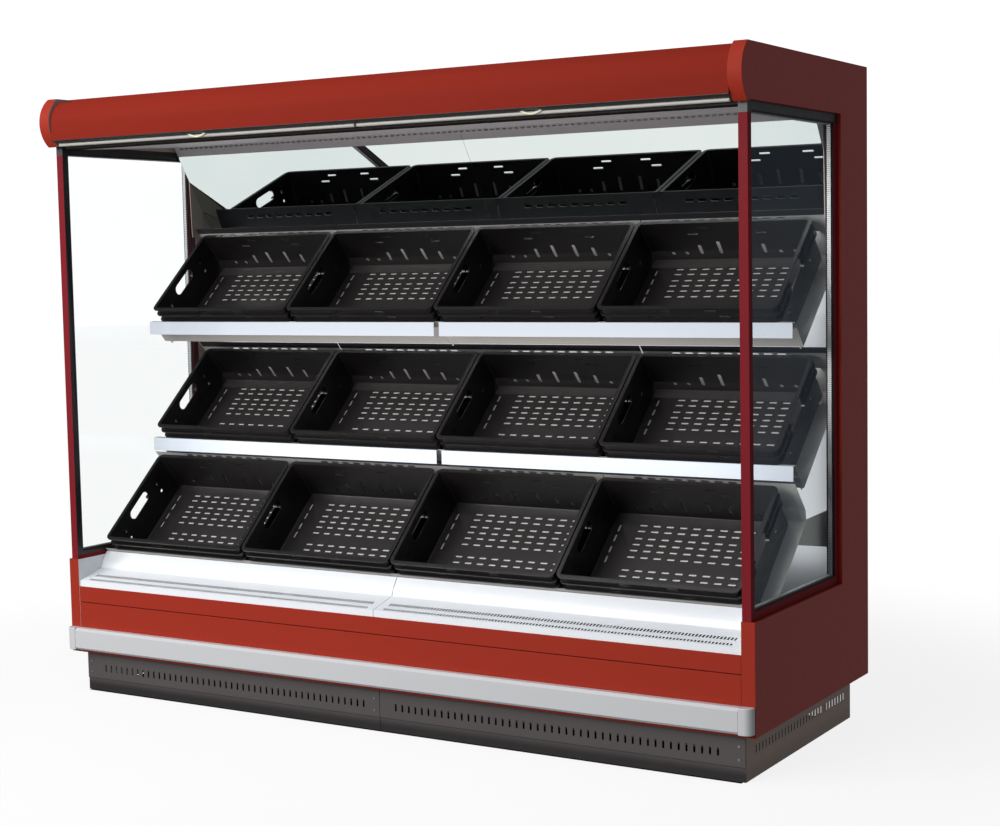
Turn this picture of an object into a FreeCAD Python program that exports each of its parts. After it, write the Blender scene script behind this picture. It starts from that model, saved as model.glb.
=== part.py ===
"""Open multideck display fridge: two shelf bays, three tilted rows of crates, mirror canopy and night blinds.

Millimetres.  X runs along the front, Y from front to back and Z up.  The origin is on the floor under
the middle of the whole cabinet.  Depths are written as distances behind the face of the front panels,
and the helpers below move them to the origin.
"""
import FreeCAD, Part
import Sketcher
import math
import operator
import os
from FreeCAD import Placement, Rotation, Vector

# Every driving dimension.  Depths are behind the front panels' face, heights are above the floor.
SIZES = {
    # shared clearances and sheet thicknesses
    "seat_gap": 0.3,
    "sheet": 1.5,
    "thin_sheet": 1.2,
    # crates, measured along their slope and down from their rims
    "crate_length": 600.0,
    "crate_width": 400.0,
    "crate_height": 160.0,
    "crate_wall": 3.0,
    "crate_floor": 4.0,
    "crate_rib": 4.0,
    "crate_rib_reach": 10.0,
    "crate_skirt": 58.0,
    "hand_hole_length": 116.0,
    "hand_hole_height": 38.0,
    "hand_hole_drop": 22.0,
    "hand_hole_offset": 10.0,
    "crate_gap": 5.0,
    "crate_tilt": 42.3,
    # rows of crates, placed by the front corner of their rims
    "lower_row_front": 90.0,
    "lower_row_height": 526.0,
    "shelf_setback": 280.0,
    "lower_row_pitch": 371.0,
    "upper_row_pitch": 422.0,
    "headroom": 731.0,
    "bay_margin": 42.5,
    # trays under the crates
    "tray_front": 4.0,
    "tray_lip_drop": 61.0,
    "tray_rear": 421.0,
    "shelf_tray_rise": 12.0,
    "lower_tray_rise": -12.0,
    "tray_bevel_run": 20.0,
    "tray_bevel_rise": 28.0,
    "tray_slot_length": 30.0,
    "tray_slot_height": 11.0,
    "tray_slot_drop": 21.5,
    "tray_slot_span": 362.0,
    "tray_slots": 9,
    "tray_split": 4.0,
    "bay_joint": 1.0,
    # price rails in front of the upper two trays
    "rail_reach": 30.0,
    "rail_height": 46.0,
    "rail_foot": 16.0,
    "rail_joint": 10.0,
    "rail_end_gap": 5.0,
    # uprights and brackets
    "tray_to_upright": 10.0,
    "upright_depth": 30.0,
    "upright_width": 30.0,
    "upright_wall": 2.0,
    "upright_inset": 20.0,
    "bracket_thickness": 3.0,
    "bracket_front_depth": 18.0,
    "bracket_knee": 330.0,
    "bracket_knee_depth": 24.0,
    "bracket_root": 120.0,
    "rear_duct": 34.0,
    "panel_split": 4.5,
    "back_panel_bottom": 360.0,
    # insulated body
    "wall_thickness": 50.0,
    "floor_thickness": 52.0,
    "roof_thickness": 42.0,
    "roof_front": 40.0,
    "tank_front": 18.0,
    "tank_lip_thickness": 42.0,
    "tank_lip_height": 366.0,
    "plinth_height": 138.0,
    "end_thickness": 43.0,
    "sill_height": 464.0,
    "window_drop": 157.0,
    "rear_post": 229.0,
    "nose_centre": 39.0,
    "nose_radius": 100.0,
    "nose_drop": 83.0,
    "nose_lip_drop": 163.0,
    # side windows
    "frame_inset": 3.0,
    "frame_thickness": 28.0,
    "frame_front": 2.0,
    "stile_width": 25.0,
    "rail_width": 26.0,
    "frame_lip": 3.0,
    "groove_depth": 8.0,
    "edge_clearance": 2.0,
    "pane": 4.0,
    "gasket": 1.0,
    "gasket_show": 5.0,
    "spacer_show": 8.0,
    # canopy
    "fascia_centre": 36.0,
    "fascia_radius": 89.0,
    "fascia_centre_drop": 89.0,
    "fascia_top_drop": 14.0,
    "fascia_flange": 39.5,
    "fascia_bottom_drop": 142.0,
    "fascia_bottom_set": 3.0,
    "trim_rear": -30.0,
    "trim_drop": 151.0,
    "trim_thickness": 3.0,
    "channel_front": -8.0,
    "channel_bottom_drop": 139.0,
    "channel_foot": 12.0,
    "cheek_front": -40.0,
    "cheek_drop": 135.0,
    "cheek_corner_drop": 65.0,
    "cheek_thickness": 5.7,
    "comb_front": 15.0,
    "comb_rear": 95.0,
    "comb_height": 28.0,
    "ceiling_front_drop": 167.0,
    "ceiling_rise": 26.0,
    "ceiling_flange": 20.0,
    # mirrors
    "mirror_top": 567.0,
    "mirror_top_drop": 143.0,
    "mirror_lean": 57.3,
    "mirror_thickness": 4.0,
    "mirror_band": 36.0,
    "mirror_band_over": 8.0,
    "mirror_hook": 6.0,
    "end_bracket_thickness": 3.2,
    "end_bracket_front": 641.0,
    "end_bracket_top_width": 103.0,
    "end_bracket_taper": 12.0,
    "end_bracket_bottom_width": 47.0,
    "end_bracket_top_drop": 170.0,
    "end_bracket_length": 298.0,
    # night blinds
    "roller_centre": 8.0,
    "roller_drop": 105.0,
    "roller_radius": 24.0,
    "pin_radius": 5.0,
    "bore_clearance": 0.05,
    "roller_end_gap": 4.0,
    "curtain_thickness": 0.4,
    "curtain_inset": 15.0,
    "bar_front": -25.0,
    "bar_rear": -10.0,
    "bar_top_drop": 151.0,
    "bar_height": 11.0,
    "bar_inset": 10.0,
    "grip_width": 84.0,
    "grip_sag": 14.0,
    "grip_strip": 5.0,
    "grip_thickness": 4.0,
    # front
    "front_top": 368.5,
    "front_seam": 315.5,
    "front_seam_gap": 2.5,
    "grille_front": 5.0,
    "grille_rise_start": 390.0,
    "grille_run": 102.0,
    "grille_rise": 26.0,
    "deck_step": 3.0,
    "deck_riser_run": 9.0,
    "deck_riser_rise": 22.0,
    "deck_top_drop": 74.0,
    "ledge_reach": 7.0,
    "bumper_bottom": 150.0,
    "bumper_top": 226.0,
    "bumper_reach": 28.0,
    "bumper_corner": 8.0,
    "bumper_wall": 2.0,
    "bumper_cap": 42.0,
    "bumper_cap_round": 24.0,
    # plinth and base
    "plinth_setback": 28.0,
    "plinth_crease": 40.0,
    "plinth_crease_depth": 3.0,
    "plinth_side_rear": 852.0,
    "plinth_slot_width": 7.0,
    "plinth_slot_height": 25.0,
    "plinth_slot_middle": 80.5,
    "plinth_slot_first": 62.0,
    "plinth_slot_span": 1103.0,
    "plinth_slots": 46,
    "side_slot_first": 104.0,
    "side_slot_span": 689.0,
    "side_slots": 30,
    "rivet_radius": 4.0,
    "rivet_upper": 102.0,
    "rivet_lower": 64.0,
    "rivet_inset": 20.0,
    "frame_tube": 60.0,
    "frame_tube_wall": 3.0,
    "frame_tube_front": 60.0,
    "frame_end_inset": 40.0,
    "foot_radius": 24.0,
    "foot_pad": 10.0,
    "foot_stud_radius": 6.0,
    "foot_nut_radius": 11.0,
    "foot_nut": 14.0,
    # cooling
    "fan_plate_depth": 300.0,
    "fan_plate_top": 460.0,
    "fan_plate_flange": 30.0,
    "fan_floor_gap": 10.0,
    "fan_radius": 88.0,
    "fan_tip_gap": 7.0,
    "fan_blades": 5,
    "fan_blade_width": 36.0,
    "fan_blade_pitch": 35.0,
    "fan_hub_radius": 30.0,
    "fan_hub_length": 34.0,
    "fan_shaft_radius": 4.0,
    "motor_radius": 38.0,
    "motor_length": 60.0,
    "motor_setback": 25.0,
    "motor_arm": 8.0,
    "shaft_reach": 3.0,
    "arm_root": 2.0,
    "blade_root": 5.0,
    "coil_front": 420.0,
    "coil_depth": 200.0,
    "coil_height": 140.0,
    "coil_half_length": 1100.0,
    "coil_fins": 31,
    "coil_fin": 1.0,
    "coil_tube_radius": 6.0,
    "coil_columns": 4,
    "coil_tube_rows": 2,
    "coil_end_plate": 2.0,
    "drain_across": 120.0,
    "drain_depth": 400.0,
    "drain_radius": 25.0,
    "drain_wall": 3.0,
    "drain_drop": 45.0,
    "drain_nut": 10.0,
    "drain_nut_radius": 34.0,
}

doc = FreeCAD.newDocument("display_fridge")
sheet = doc.addObject("Spreadsheet::Sheet", "dims")
for line, (alias, number) in enumerate(SIZES.items(), start=1):
    sheet.set(f"A{line}", str(number))
    sheet.setAlias(f"A{line}", alias)
doc.recompute()


# ---------------------------------------------------------------- sizes that keep their formula

class Size:
    """A length, angle or count together with the formula that gives it from the driving dimensions."""

    def __init__(self, value, formula):
        self.value = float(value)
        self.formula = formula

    def __add__(self, other):
        return combined(self, "+", other)

    def __radd__(self, other):
        return combined(other, "+", self)

    def __sub__(self, other):
        return combined(self, "-", other)

    def __rsub__(self, other):
        return combined(other, "-", self)

    def __mul__(self, other):
        return combined(self, "*", other)

    def __rmul__(self, other):
        return combined(other, "*", self)

    def __truediv__(self, other):
        return combined(self, "/", other)

    def __neg__(self):
        return combined(0, "-", self)


OPERATIONS = {"+": operator.add, "-": operator.sub, "*": operator.mul, "/": operator.truediv}


def sized(value):
    """The value as a Size, with a plain number standing for itself."""
    return value if isinstance(value, Size) else Size(value, f"({value})")


def combined(left, sign, right):
    left, right = sized(left), sized(right)
    return Size(OPERATIONS[sign](left.value, right.value), f"({left.formula} {sign} {right.formula})")


def sine(angle):
    return Size(math.sin(math.radians(angle.value)), f"sin({angle.formula})")


def cosine(angle):
    return Size(math.cos(math.radians(angle.value)), f"cos({angle.formula})")


def root(size):
    return Size(math.sqrt(size.value), f"sqrt({size.formula})")


class Dimensions:
    """Every driving dimension under its own name."""


d = Dimensions()
for alias, number in SIZES.items():
    setattr(d, alias, Size(number, f"dims.{alias}"))

# ---------------------------------------------------------------- worked-out sizes

COS = cosine(d.crate_tilt)
SIN = sine(d.crate_tilt)
CRATE_PITCH = d.crate_length + d.crate_gap
BAY = 2 * d.crate_length + 1.5 * d.crate_gap + d.bay_margin
END = BAY + d.end_thickness


class Row:
    """One row of crates, placed by the front corner of their rims."""

    def __init__(self, front, height):
        self.front = front
        self.height = height

    def point(self, along, below):
        """The depth and height of a place so far along the slope and so far below the rims."""
        return (self.front + along * COS + below * SIN, self.height + along * SIN - below * COS)


MIDDLE_HEIGHT = d.lower_row_height + d.lower_row_pitch
ROWS = {
    "lower": Row(d.lower_row_front, d.lower_row_height),
    "middle": Row(d.lower_row_front + d.shelf_setback, MIDDLE_HEIGHT),
    "upper": Row(d.lower_row_front + d.shelf_setback, MIDDLE_HEIGHT + d.upper_row_pitch),
}
TOP = ROWS["upper"].height + d.headroom
CEILING = TOP - d.roof_thickness
FLOOR = d.plinth_height + d.floor_thickness
TRAY_TOP = d.crate_height + d.seat_gap
TRAY_UNDERSIDE = TRAY_TOP + d.sheet
UPRIGHT = ROWS["upper"].point(d.tray_rear - d.tray_bevel_run, TRAY_UNDERSIDE)[0] + d.tray_to_upright
WALL = UPRIGHT + d.upright_depth + d.rear_duct
REAR = WALL + d.wall_thickness
FRONT = -(REAR + d.nose_centre - d.nose_radius) / 2
WINDOW_TOP = TOP - d.window_drop
WINDOW_REAR = REAR - d.rear_post

# ---------------------------------------------------------------- building helpers

NODES = {}


def node(name, item):
    """Register a finished sub-part under its name."""
    item.Label = name
    NODES[name] = item
    return item


def bind(item, path, size):
    """Tie one property to the driving dimensions."""
    item.setExpression(path, sized(size).formula)


def put(item, x, y, z):
    """Tie the three coordinates of an item's placement."""
    for axis, size in zip("xyz", (x, y, z)):
        bind(item, f"Placement.Base.{axis}", size)


def block(name, x, y, z, shift=FRONT):
    """A box between two limits on each axis."""
    box = doc.addObject("Part::Box", name)
    for side, (low, high) in zip(("Length", "Width", "Height"), (x, y, z)):
        bind(box, side, high - low)
    put(box, x[0], y[0] + shift, z[0])
    return box


AXIS_TURNS = {
    "x": Rotation(Vector(0, 1, 0), 90),
    "y": Rotation(Vector(1, 0, 0), -90),
    "z": Rotation(),
}


def rod(name, radius, start, length, axis, shift=FRONT):
    """A cylinder that starts at a point and runs along an axis."""
    cylinder = doc.addObject("Part::Cylinder", name)
    cylinder.Placement = Placement(Vector(), AXIS_TURNS[axis])
    bind(cylinder, "Radius", radius)
    bind(cylinder, "Height", length)
    put(cylinder, start[0], start[1] + shift, start[2])
    return cylinder


def fused(name, pieces):
    item = doc.addObject("Part::MultiFuse", name)
    item.Shapes = pieces
    item.Refine = True
    return item


def without(name, base, tool):
    item = doc.addObject("Part::Cut", name)
    item.Base = base
    item.Tool = tool
    return item


def group(name, pieces):
    """Separate solids that share one name."""
    item = doc.addObject("Part::Compound", name)
    item.Links = pieces
    return item


def sketch_on(body, plane, offset=0):
    """A sketch on one of a body's own planes, moved along its normal."""
    sketch = body.newObject("Sketcher::SketchObject", body.Name + "_sketch")
    feature = next(item for item in body.Origin.OriginFeatures if item.Role == plane)
    sketch.AttachmentSupport = [(feature, "")]
    sketch.MapMode = "FlatFace"
    bind(sketch, "AttachmentOffset.Base.z", offset)
    return sketch


def arc_between(start, end, radius):
    """The shorter arc, with its centre on the left of the way from start to end."""
    chord = end - start
    reach = math.sqrt(radius ** 2 - (chord.Length / 2) ** 2)
    left = Vector(-chord.y, chord.x, 0).normalize()
    centre = (start + end) / 2 + left * reach
    angles = [math.atan2(point.y - centre.y, point.x - centre.x) for point in (start, end)]
    return Part.ArcOfCircle(Part.Circle(centre, Vector(0, 0, 1), radius), *angles)


def outline(sketch, points, arcs=None):
    """Draw a closed loop through the points, each tied to its two sizes.

    arcs gives the radius of each round edge by the number of the point it leaves.  The centre of a
    positive radius lies on the left of the way round, and of a negative one on the right.
    """
    arcs = arcs or {}
    places = [Vector(sized(a).value, sized(b).value, 0) for a, b in points]
    edges, starts, ends = [], [], []
    for number, here in enumerate(places):
        there = places[(number + 1) % len(places)]
        radius = arcs.get(number)
        backwards = radius is not None and radius.value < 0
        if radius is None:
            edges.append(Part.LineSegment(here, there))
        elif backwards:
            edges.append(arc_between(there, here, -radius.value))
        else:
            edges.append(arc_between(here, there, radius.value))
        starts.append(2 if backwards else 1)
        ends.append(1 if backwards else 2)
    sketch.addGeometry(edges, False)
    for number, place in enumerate(places):
        following = (number + 1) % len(places)
        sketch.addConstraint(
            Sketcher.Constraint("Coincident", number, ends[number], following, starts[following]))
    for number, (place, point) in enumerate(zip(places, points)):
        for kind, distance, size in (("DistanceX", place.x, point[0]), ("DistanceY", place.y, point[1])):
            tie = sketch.addConstraint(
                Sketcher.Constraint(kind, -1, 1, number, starts[number], distance))
            bind(sketch, f"Constraints[{tie}]", size)
    for number, radius in arcs.items():
        tie = sketch.addConstraint(Sketcher.Constraint("Radius", number, abs(radius.value)))
        bind(sketch, f"Constraints[{tie}]", -radius if radius.value < 0 else radius)


def prism(name, points, limits, arcs=None, plane="YZ_Plane", shift=FRONT):
    """A straight solid with a drawn section, between two limits across the section.

    A section in the YZ plane runs along X and one in the XY plane runs up Z.
    """
    body = doc.addObject("PartDesign::Body", name)
    sketch = sketch_on(body, plane, limits[0])
    if plane == "YZ_Plane":
        placed = [(depth + shift, height) for depth, height in points]
    else:
        placed = [(across, depth + shift) for across, depth in points]
    outline(sketch, placed, arcs)
    pad = body.newObject("PartDesign::Pad", name + "_pad")
    pad.Profile = sketch
    bind(pad, "Length", limits[1] - limits[0])
    return body


def slot_row(body, plane, first, second, width, height, count, span, shift=0):
    """Cut a row of round-ended slots right through a body, spread along the sketch's first axis."""
    sketch = sketch_on(body, plane)
    upright = height.value > width.value
    radius = (width if upright else height) / 2
    reach_a = sized(0) if upright else width / 2 - radius
    reach_b = height / 2 - radius if upright else sized(0)
    first = first + shift
    if upright:
        corners = [(first - radius, second - reach_b), (first + radius, second - reach_b),
                   (first + radius, second + reach_b), (first - radius, second + reach_b)]
        arcs = (0, 2)
    else:
        corners = [(first - reach_a, second - radius), (first + reach_a, second - radius),
                   (first + reach_a, second + radius), (first - reach_a, second + radius)]
        arcs = (1, 3)
    half_round(sketch, corners, arcs)
    pocket = body.newObject("PartDesign::Pocket", body.Name + "_slot")
    pocket.Profile = sketch
    pocket.Type = "ThroughAll"
    pocket.SideType = "Symmetric"
    pattern = body.newObject("PartDesign::LinearPattern", body.Name + "_slots")
    pattern.Originals = [pocket]
    pattern.Direction = (sketch, ["H_Axis"])
    bind(pattern, "Length", span)
    bind(pattern, "Occurrences", count)
    body.Tip = pattern


def half_round(sketch, corners, arcs):
    """A loop through four corners whose two named edges are half circles."""
    places = [Vector(sized(a).value, sized(b).value, 0) for a, b in corners]
    edges = []
    for number, here in enumerate(places):
        there = places[(number + 1) % 4]
        if number in arcs:
            centre = (here + there) / 2
            start = math.atan2(here.y - centre.y, here.x - centre.x)
            circle = Part.Circle(centre, Vector(0, 0, 1), (there - here).Length / 2)
            edges.append(Part.ArcOfCircle(circle, start, start + math.pi))
        else:
            edges.append(Part.LineSegment(here, there))
    sketch.addGeometry(edges, False)
    for number, (place, corner) in enumerate(zip(places, corners)):
        following = (number + 1) % 4
        joint = "Tangent" if following in arcs else "Coincident"
        sketch.addConstraint(Sketcher.Constraint(joint, number, 2, following, 1))
        for kind, distance, size in (("DistanceX", place.x, corner[0]), ("DistanceY", place.y, corner[1])):
            tie = sketch.addConstraint(Sketcher.Constraint(kind, -1, 1, number, 1, distance))
            bind(sketch, f"Constraints[{tie}]", size)


def window(name, x, outer, inner):
    """A rectangular ring between two limits on X, from its outer and inner (depth, height) limits."""
    past = (x[0] - 1, x[1] + 1)
    return without(name, block(name + "_outer", x, *outer), block(name + "_hole", past, *inner))


def side_span(side, near, far):
    """The limits on X of a piece that lies between two distances from the middle, on one side."""
    return (sized(near), sized(far)) if side > 0 else (-sized(far), -sized(near))


def on_slope(item, row, x=0):
    """Lay an item drawn in the slope's own frame on a row."""
    item.Placement = Placement(Vector(), Rotation(Vector(1, 0, 0), d.crate_tilt.value))
    bind(item, "Placement.Rotation.Angle", d.crate_tilt)
    put(item, x, row.front + FRONT, row.height)
    return item


BOTH = (("left", -1), ("right", 1))

# ---------------------------------------------------------------- base, plinth and insulated body


def make_base():
    """Welded tube frame on six screw feet."""
    bottom = d.plinth_height - d.frame_tube
    rear_tube = REAR - d.frame_tube_front - d.frame_tube
    reach = BAY - d.frame_end_inset
    wall = d.frame_tube_wall
    tubes = []
    for name, start in (("front", d.frame_tube_front), ("rear", rear_tube)):
        outer = block(f"{name}_tube", (-reach, reach), (start, start + d.frame_tube),
                      (bottom, d.plinth_height))
        inner = block(f"{name}_tube_inside", (-reach - 1, reach + 1),
                      (start + wall, start + d.frame_tube - wall), (bottom + wall, d.plinth_height - wall))
        tubes.append(without(f"{name}_rail", outer, inner))
    half = d.frame_tube / 2
    middles = (-reach + half, sized(0), reach - half)
    for number, middle in enumerate(middles):
        tubes.append(block(f"cross_tube_{number}", (middle - half, middle + half),
                           (d.frame_tube_front + d.frame_tube, rear_tube), (bottom, d.plinth_height)))
    node("base_frame", fused("base_frame", tubes))
    feet = []
    for across in middles:
        for depth in (d.frame_tube_front + half, rear_tube + half):
            feet.append(screw_foot(len(feet), across, depth, bottom))
    node("levelling_feet", group("levelling_feet", feet))


def screw_foot(number, across, depth, top):
    """Round pad, threaded stud and lock nut."""
    pad = rod(f"foot_pad_{number}", d.foot_radius, (across, depth, 0), d.foot_pad, "z")
    stud = rod(f"foot_stud_{number}", d.foot_stud_radius, (across, depth, 0), top, "z")
    nut = rod(f"foot_nut_{number}", d.foot_nut_radius, (across, depth, top - d.foot_nut), d.foot_nut, "z")
    return fused(f"foot_{number}", [pad, stud, nut])


def make_plinth():
    """Creased kick panels with cooling slots, and the rivets that hold them."""
    face = d.plinth_setback
    crease = d.plinth_crease
    back = face + d.plinth_crease_depth
    section = [
        (face, d.plinth_height), (face, crease + d.plinth_crease_depth), (back, crease), (back, 0),
        (back + d.sheet, 0), (back + d.sheet, crease), (face + d.sheet, crease + d.plinth_crease_depth),
        (face + d.sheet, d.plinth_height),
    ]
    fronts, sides, rivets = [], [], []
    for name, side in BOTH:
        x = side_span(side, d.bay_joint, BAY - d.bay_joint)
        front = prism(f"plinth_front_{name}", section, x)
        first = side * d.plinth_slot_first if side > 0 else -d.plinth_slot_first - d.plinth_slot_span
        slot_row(front, "XZ_Plane", first, d.plinth_slot_middle, d.plinth_slot_width,
                 d.plinth_slot_height, d.plinth_slots, d.plinth_slot_span)
        fronts.append(front)
        skin = side_span(side, BAY - d.bay_joint - d.sheet, BAY - d.bay_joint)
        near, far = back + d.sheet + d.seat_gap, d.plinth_side_rear
        corners = [(near, 0), (far, 0), (far, d.plinth_height), (near, d.plinth_height)]
        panel = prism(f"plinth_side_{name}", corners, skin)
        slot_row(panel, "YZ_Plane", d.side_slot_first, d.plinth_slot_middle, d.plinth_slot_width,
                 d.plinth_slot_height, d.side_slots, d.side_slot_span, shift=FRONT)
        sides.append(panel)
    for across in (-BAY + d.rivet_inset, -d.rivet_inset, BAY - d.rivet_inset):
        for height in (d.rivet_lower, d.rivet_upper):
            rivets.append(rod(f"rivet_{len(rivets)}", d.rivet_radius,
                              (across, face - d.sheet, height), d.sheet, "y"))
    node("plinth_fronts", group("plinth_fronts", fronts))
    node("plinth_sides", group("plinth_sides", sides))
    node("plinth_rivets", group("plinth_rivets", rivets))


def make_body():
    """Foamed tank, rear wall and roof, and the drain in the tank's floor."""
    lip_rear = d.tank_front + d.tank_lip_thickness
    section = [
        (d.tank_front, d.plinth_height), (REAR, d.plinth_height), (REAR, FLOOR), (lip_rear, FLOOR),
        (lip_rear, d.tank_lip_height), (d.tank_front, d.tank_lip_height),
    ]
    tank = prism("tank_body", section, (-BAY, BAY))
    hole = rod("drain_hole", d.drain_radius + d.seat_gap,
               (d.drain_across, d.drain_depth, d.plinth_height - 1), d.floor_thickness + 2, "z")
    node("insulated_tank", without("insulated_tank", tank, hole))
    start = d.plinth_height - d.drain_drop
    length = FLOOR - start
    outer = rod("drain_outside", d.drain_radius, (d.drain_across, d.drain_depth, start), length, "z")
    nut_start = d.plinth_height - d.seat_gap - d.drain_nut
    nut = rod("drain_nut", d.drain_nut_radius, (d.drain_across, d.drain_depth, nut_start), d.drain_nut, "z")
    inner = rod("drain_inside", d.drain_radius - d.drain_wall, (d.drain_across, d.drain_depth, start - 1),
                length + 2, "z")
    node("drain_pipe", without("drain_pipe", fused("drain_body", [outer, nut]), inner))
    node("rear_wall", block("rear_wall", (-BAY, BAY), (WALL, REAR), (FLOOR, CEILING)))
    node("roof_panel", block("roof_panel", (-BAY, BAY), (d.roof_front, REAR), (CEILING, TOP)))


def make_end_panels():
    """Foamed end panels with a rounded nose over the canopy and an opening for the side window."""
    def nose_depth(height):
        rise = height - (TOP - d.nose_drop)
        return d.nose_centre - root(d.nose_radius * d.nose_radius - rise * rise)

    lip = TOP - d.nose_lip_drop
    section = [
        (sized(0), d.plinth_height), (REAR, d.plinth_height), (REAR, TOP), (nose_depth(TOP), TOP),
        (nose_depth(lip), lip), (d.frame_front, WINDOW_TOP), (WINDOW_REAR, WINDOW_TOP),
        (WINDOW_REAR, d.sill_height), (sized(0), d.sill_height),
    ]
    for name, side in BOTH:
        panel = prism(f"end_panel_{name}", section, side_span(side, BAY, END), arcs={3: d.nose_radius})
        node(f"end_panel_{name}", panel)


def make_side_windows():
    """Framed double glazing in each end panel."""
    def inset(amount):
        """Depth and height limits of the clear opening, made smaller all round by an amount."""
        depth = (d.frame_front + d.stile_width + amount, WINDOW_REAR - d.rail_width - amount)
        height = (d.sill_height + d.rail_width + amount, WINDOW_TOP - d.rail_width - amount)
        return depth, height

    frame_limits = ((d.frame_front, WINDOW_REAR), (d.sill_height, WINDOW_TOP))
    bite = d.groove_depth - d.edge_clearance
    panes, spacers, seals = [], [], []
    for name, side in BOTH:
        def across(near, far):
            start = BAY + d.frame_inset
            return side_span(side, start + near, start + far)

        opening = window(f"frame_ring_{name}", across(0, d.frame_thickness), frame_limits, inset(0))
        groove = block(f"frame_groove_{name}", across(d.frame_lip, d.frame_thickness - d.frame_lip),
                       *inset(-d.groove_depth))
        node(f"glazing_frame_{name}", without(f"glazing_frame_{name}", opening, groove))
        inner = d.frame_lip + d.gasket
        outer = d.frame_thickness - d.frame_lip - d.gasket
        panes.append(block(f"inner_pane_{name}", across(inner, inner + d.pane), *inset(-bite)))
        panes.append(block(f"outer_pane_{name}", across(outer - d.pane, outer), *inset(-bite)))
        spacers.append(window(f"spacer_{name}", across(inner + d.pane, outer - d.pane), inset(-bite),
                              inset(d.spacer_show)))
        seals.append(window(f"inner_gasket_{name}", across(d.frame_lip, inner), inset(-bite),
                            inset(d.gasket_show)))
        seals.append(window(f"outer_gasket_{name}", across(outer, outer + d.gasket), inset(-bite),
                            inset(d.gasket_show)))
    node("side_glass", group("side_glass", panes))
    node("glass_spacers", group("glass_spacers", spacers))
    node("glass_seals", group("glass_seals", seals))


# ---------------------------------------------------------------- canopy, ceiling and mirrors

FASCIA_TOP = TOP - d.fascia_top_drop
FASCIA_CENTRE = TOP - d.fascia_centre_drop
CHANNEL_TOP = FASCIA_TOP - d.sheet
INSIDE = BAY - d.seat_gap


def make_canopy():
    """Rounded fascia, its dark trim, the folded channel behind it and the honeycomb air outlet."""
    def curve(height, radius):
        rise = height - FASCIA_CENTRE
        return d.fascia_centre - root(radius * radius - rise * rise)

    outside, inside = d.fascia_radius, d.fascia_radius - d.sheet
    bottom = TOP - d.fascia_bottom_drop
    bottom_front = d.fascia_centre - d.fascia_radius + d.fascia_bottom_set
    section = [
        (d.fascia_flange, FASCIA_TOP), (curve(FASCIA_TOP, outside), FASCIA_TOP),
        (curve(FASCIA_CENTRE, outside), FASCIA_CENTRE), (bottom_front, bottom),
        (bottom_front + d.sheet, bottom), (curve(FASCIA_CENTRE, inside), FASCIA_CENTRE),
        (curve(FASCIA_TOP - d.sheet, inside), FASCIA_TOP - d.sheet), (d.fascia_flange, FASCIA_TOP - d.sheet),
    ]
    fascia = prism("canopy_fascia", section, (-INSIDE, INSIDE), arcs={1: outside, 5: -inside})
    node("canopy_fascia", fascia)
    low = TOP - d.trim_drop
    trim = [
        (bottom_front, bottom), (bottom_front, bottom - d.trim_thickness / 2), (d.trim_rear, low),
        (d.trim_rear, low + d.trim_thickness), (bottom_front + d.trim_thickness, bottom),
    ]
    node("canopy_trim", prism("canopy_trim", trim, (-INSIDE, INSIDE)))
    make_channel()
    comb_top = TOP - d.channel_bottom_drop
    honeycomb = block("air_honeycomb", (-INSIDE, INSIDE), (d.comb_front, d.comb_rear),
                      (comb_top - d.comb_height, comb_top))
    node("air_honeycomb", honeycomb)


def make_channel():
    """Folded channel with three cheeks that carry the blind rollers' pins."""
    low = TOP - d.channel_bottom_drop
    rear = d.roof_front - d.seat_gap
    inner, under = rear - d.sheet, CHANNEL_TOP - d.sheet
    section = [
        (d.channel_front, CHANNEL_TOP), (rear, CHANNEL_TOP), (rear, low), (d.channel_foot, low),
        (d.channel_foot, low + d.sheet), (inner, low + d.sheet), (inner, under), (d.channel_front, under),
    ]
    pieces = [prism("channel_sheet", section, (-INSIDE, INSIDE))]
    cheek = [
        (inner, under), (d.channel_front, under), (d.cheek_front, TOP - d.cheek_corner_drop),
        (d.cheek_front, TOP - d.cheek_drop), (inner, TOP - d.cheek_drop),
    ]
    half = d.cheek_thickness / 2
    spans = ((-INSIDE, -INSIDE + d.cheek_thickness), (-half, half), (INSIDE - d.cheek_thickness, INSIDE))
    for number, span in enumerate(spans):
        pieces.append(prism(f"cheek_{number}", cheek, span))
    bore = rod("pin_bores", d.pin_radius + d.bore_clearance, (-BAY, d.roller_centre, TOP - d.roller_drop),
               2 * BAY, "x")
    node("canopy_channel", without("canopy_channel", fused("channel_fused", pieces), bore))


CARRIER_TOP = -d.mirror_band_over


def make_ceiling():
    """Two folded ceiling panels between the honeycomb and the mirrors."""
    near = d.comb_rear + d.seat_gap
    lean_run = d.mirror_band_over * cosine(d.mirror_lean)
    far = d.mirror_top - lean_run - d.seat_gap
    low = TOP - d.ceiling_front_drop
    high = low + d.ceiling_rise
    sheet_up = d.thin_sheet
    section = [
        (near, low), (far, high), (far, high + d.ceiling_flange), (far - sheet_up, high + d.ceiling_flange),
        (far - sheet_up, high + sheet_up), (near + sheet_up, low + sheet_up),
        (near + sheet_up, low + d.ceiling_flange), (near, low + d.ceiling_flange),
    ]
    panels = [prism(f"ceiling_{name}", section, side_span(side, d.bay_joint / 2, INSIDE))
              for name, side in BOTH]
    node("ceiling_panels", group("ceiling_panels", panels))


def lean(item):
    """Lay an item drawn down the mirrors' plane in its place."""
    item.Placement = Placement(Vector(), Rotation(Vector(1, 0, 0), -d.mirror_lean.value))
    bind(item, "Placement.Rotation.Angle", -d.mirror_lean)
    put(item, 0, d.mirror_top + FRONT, TOP - d.mirror_top_drop)
    return item


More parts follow.
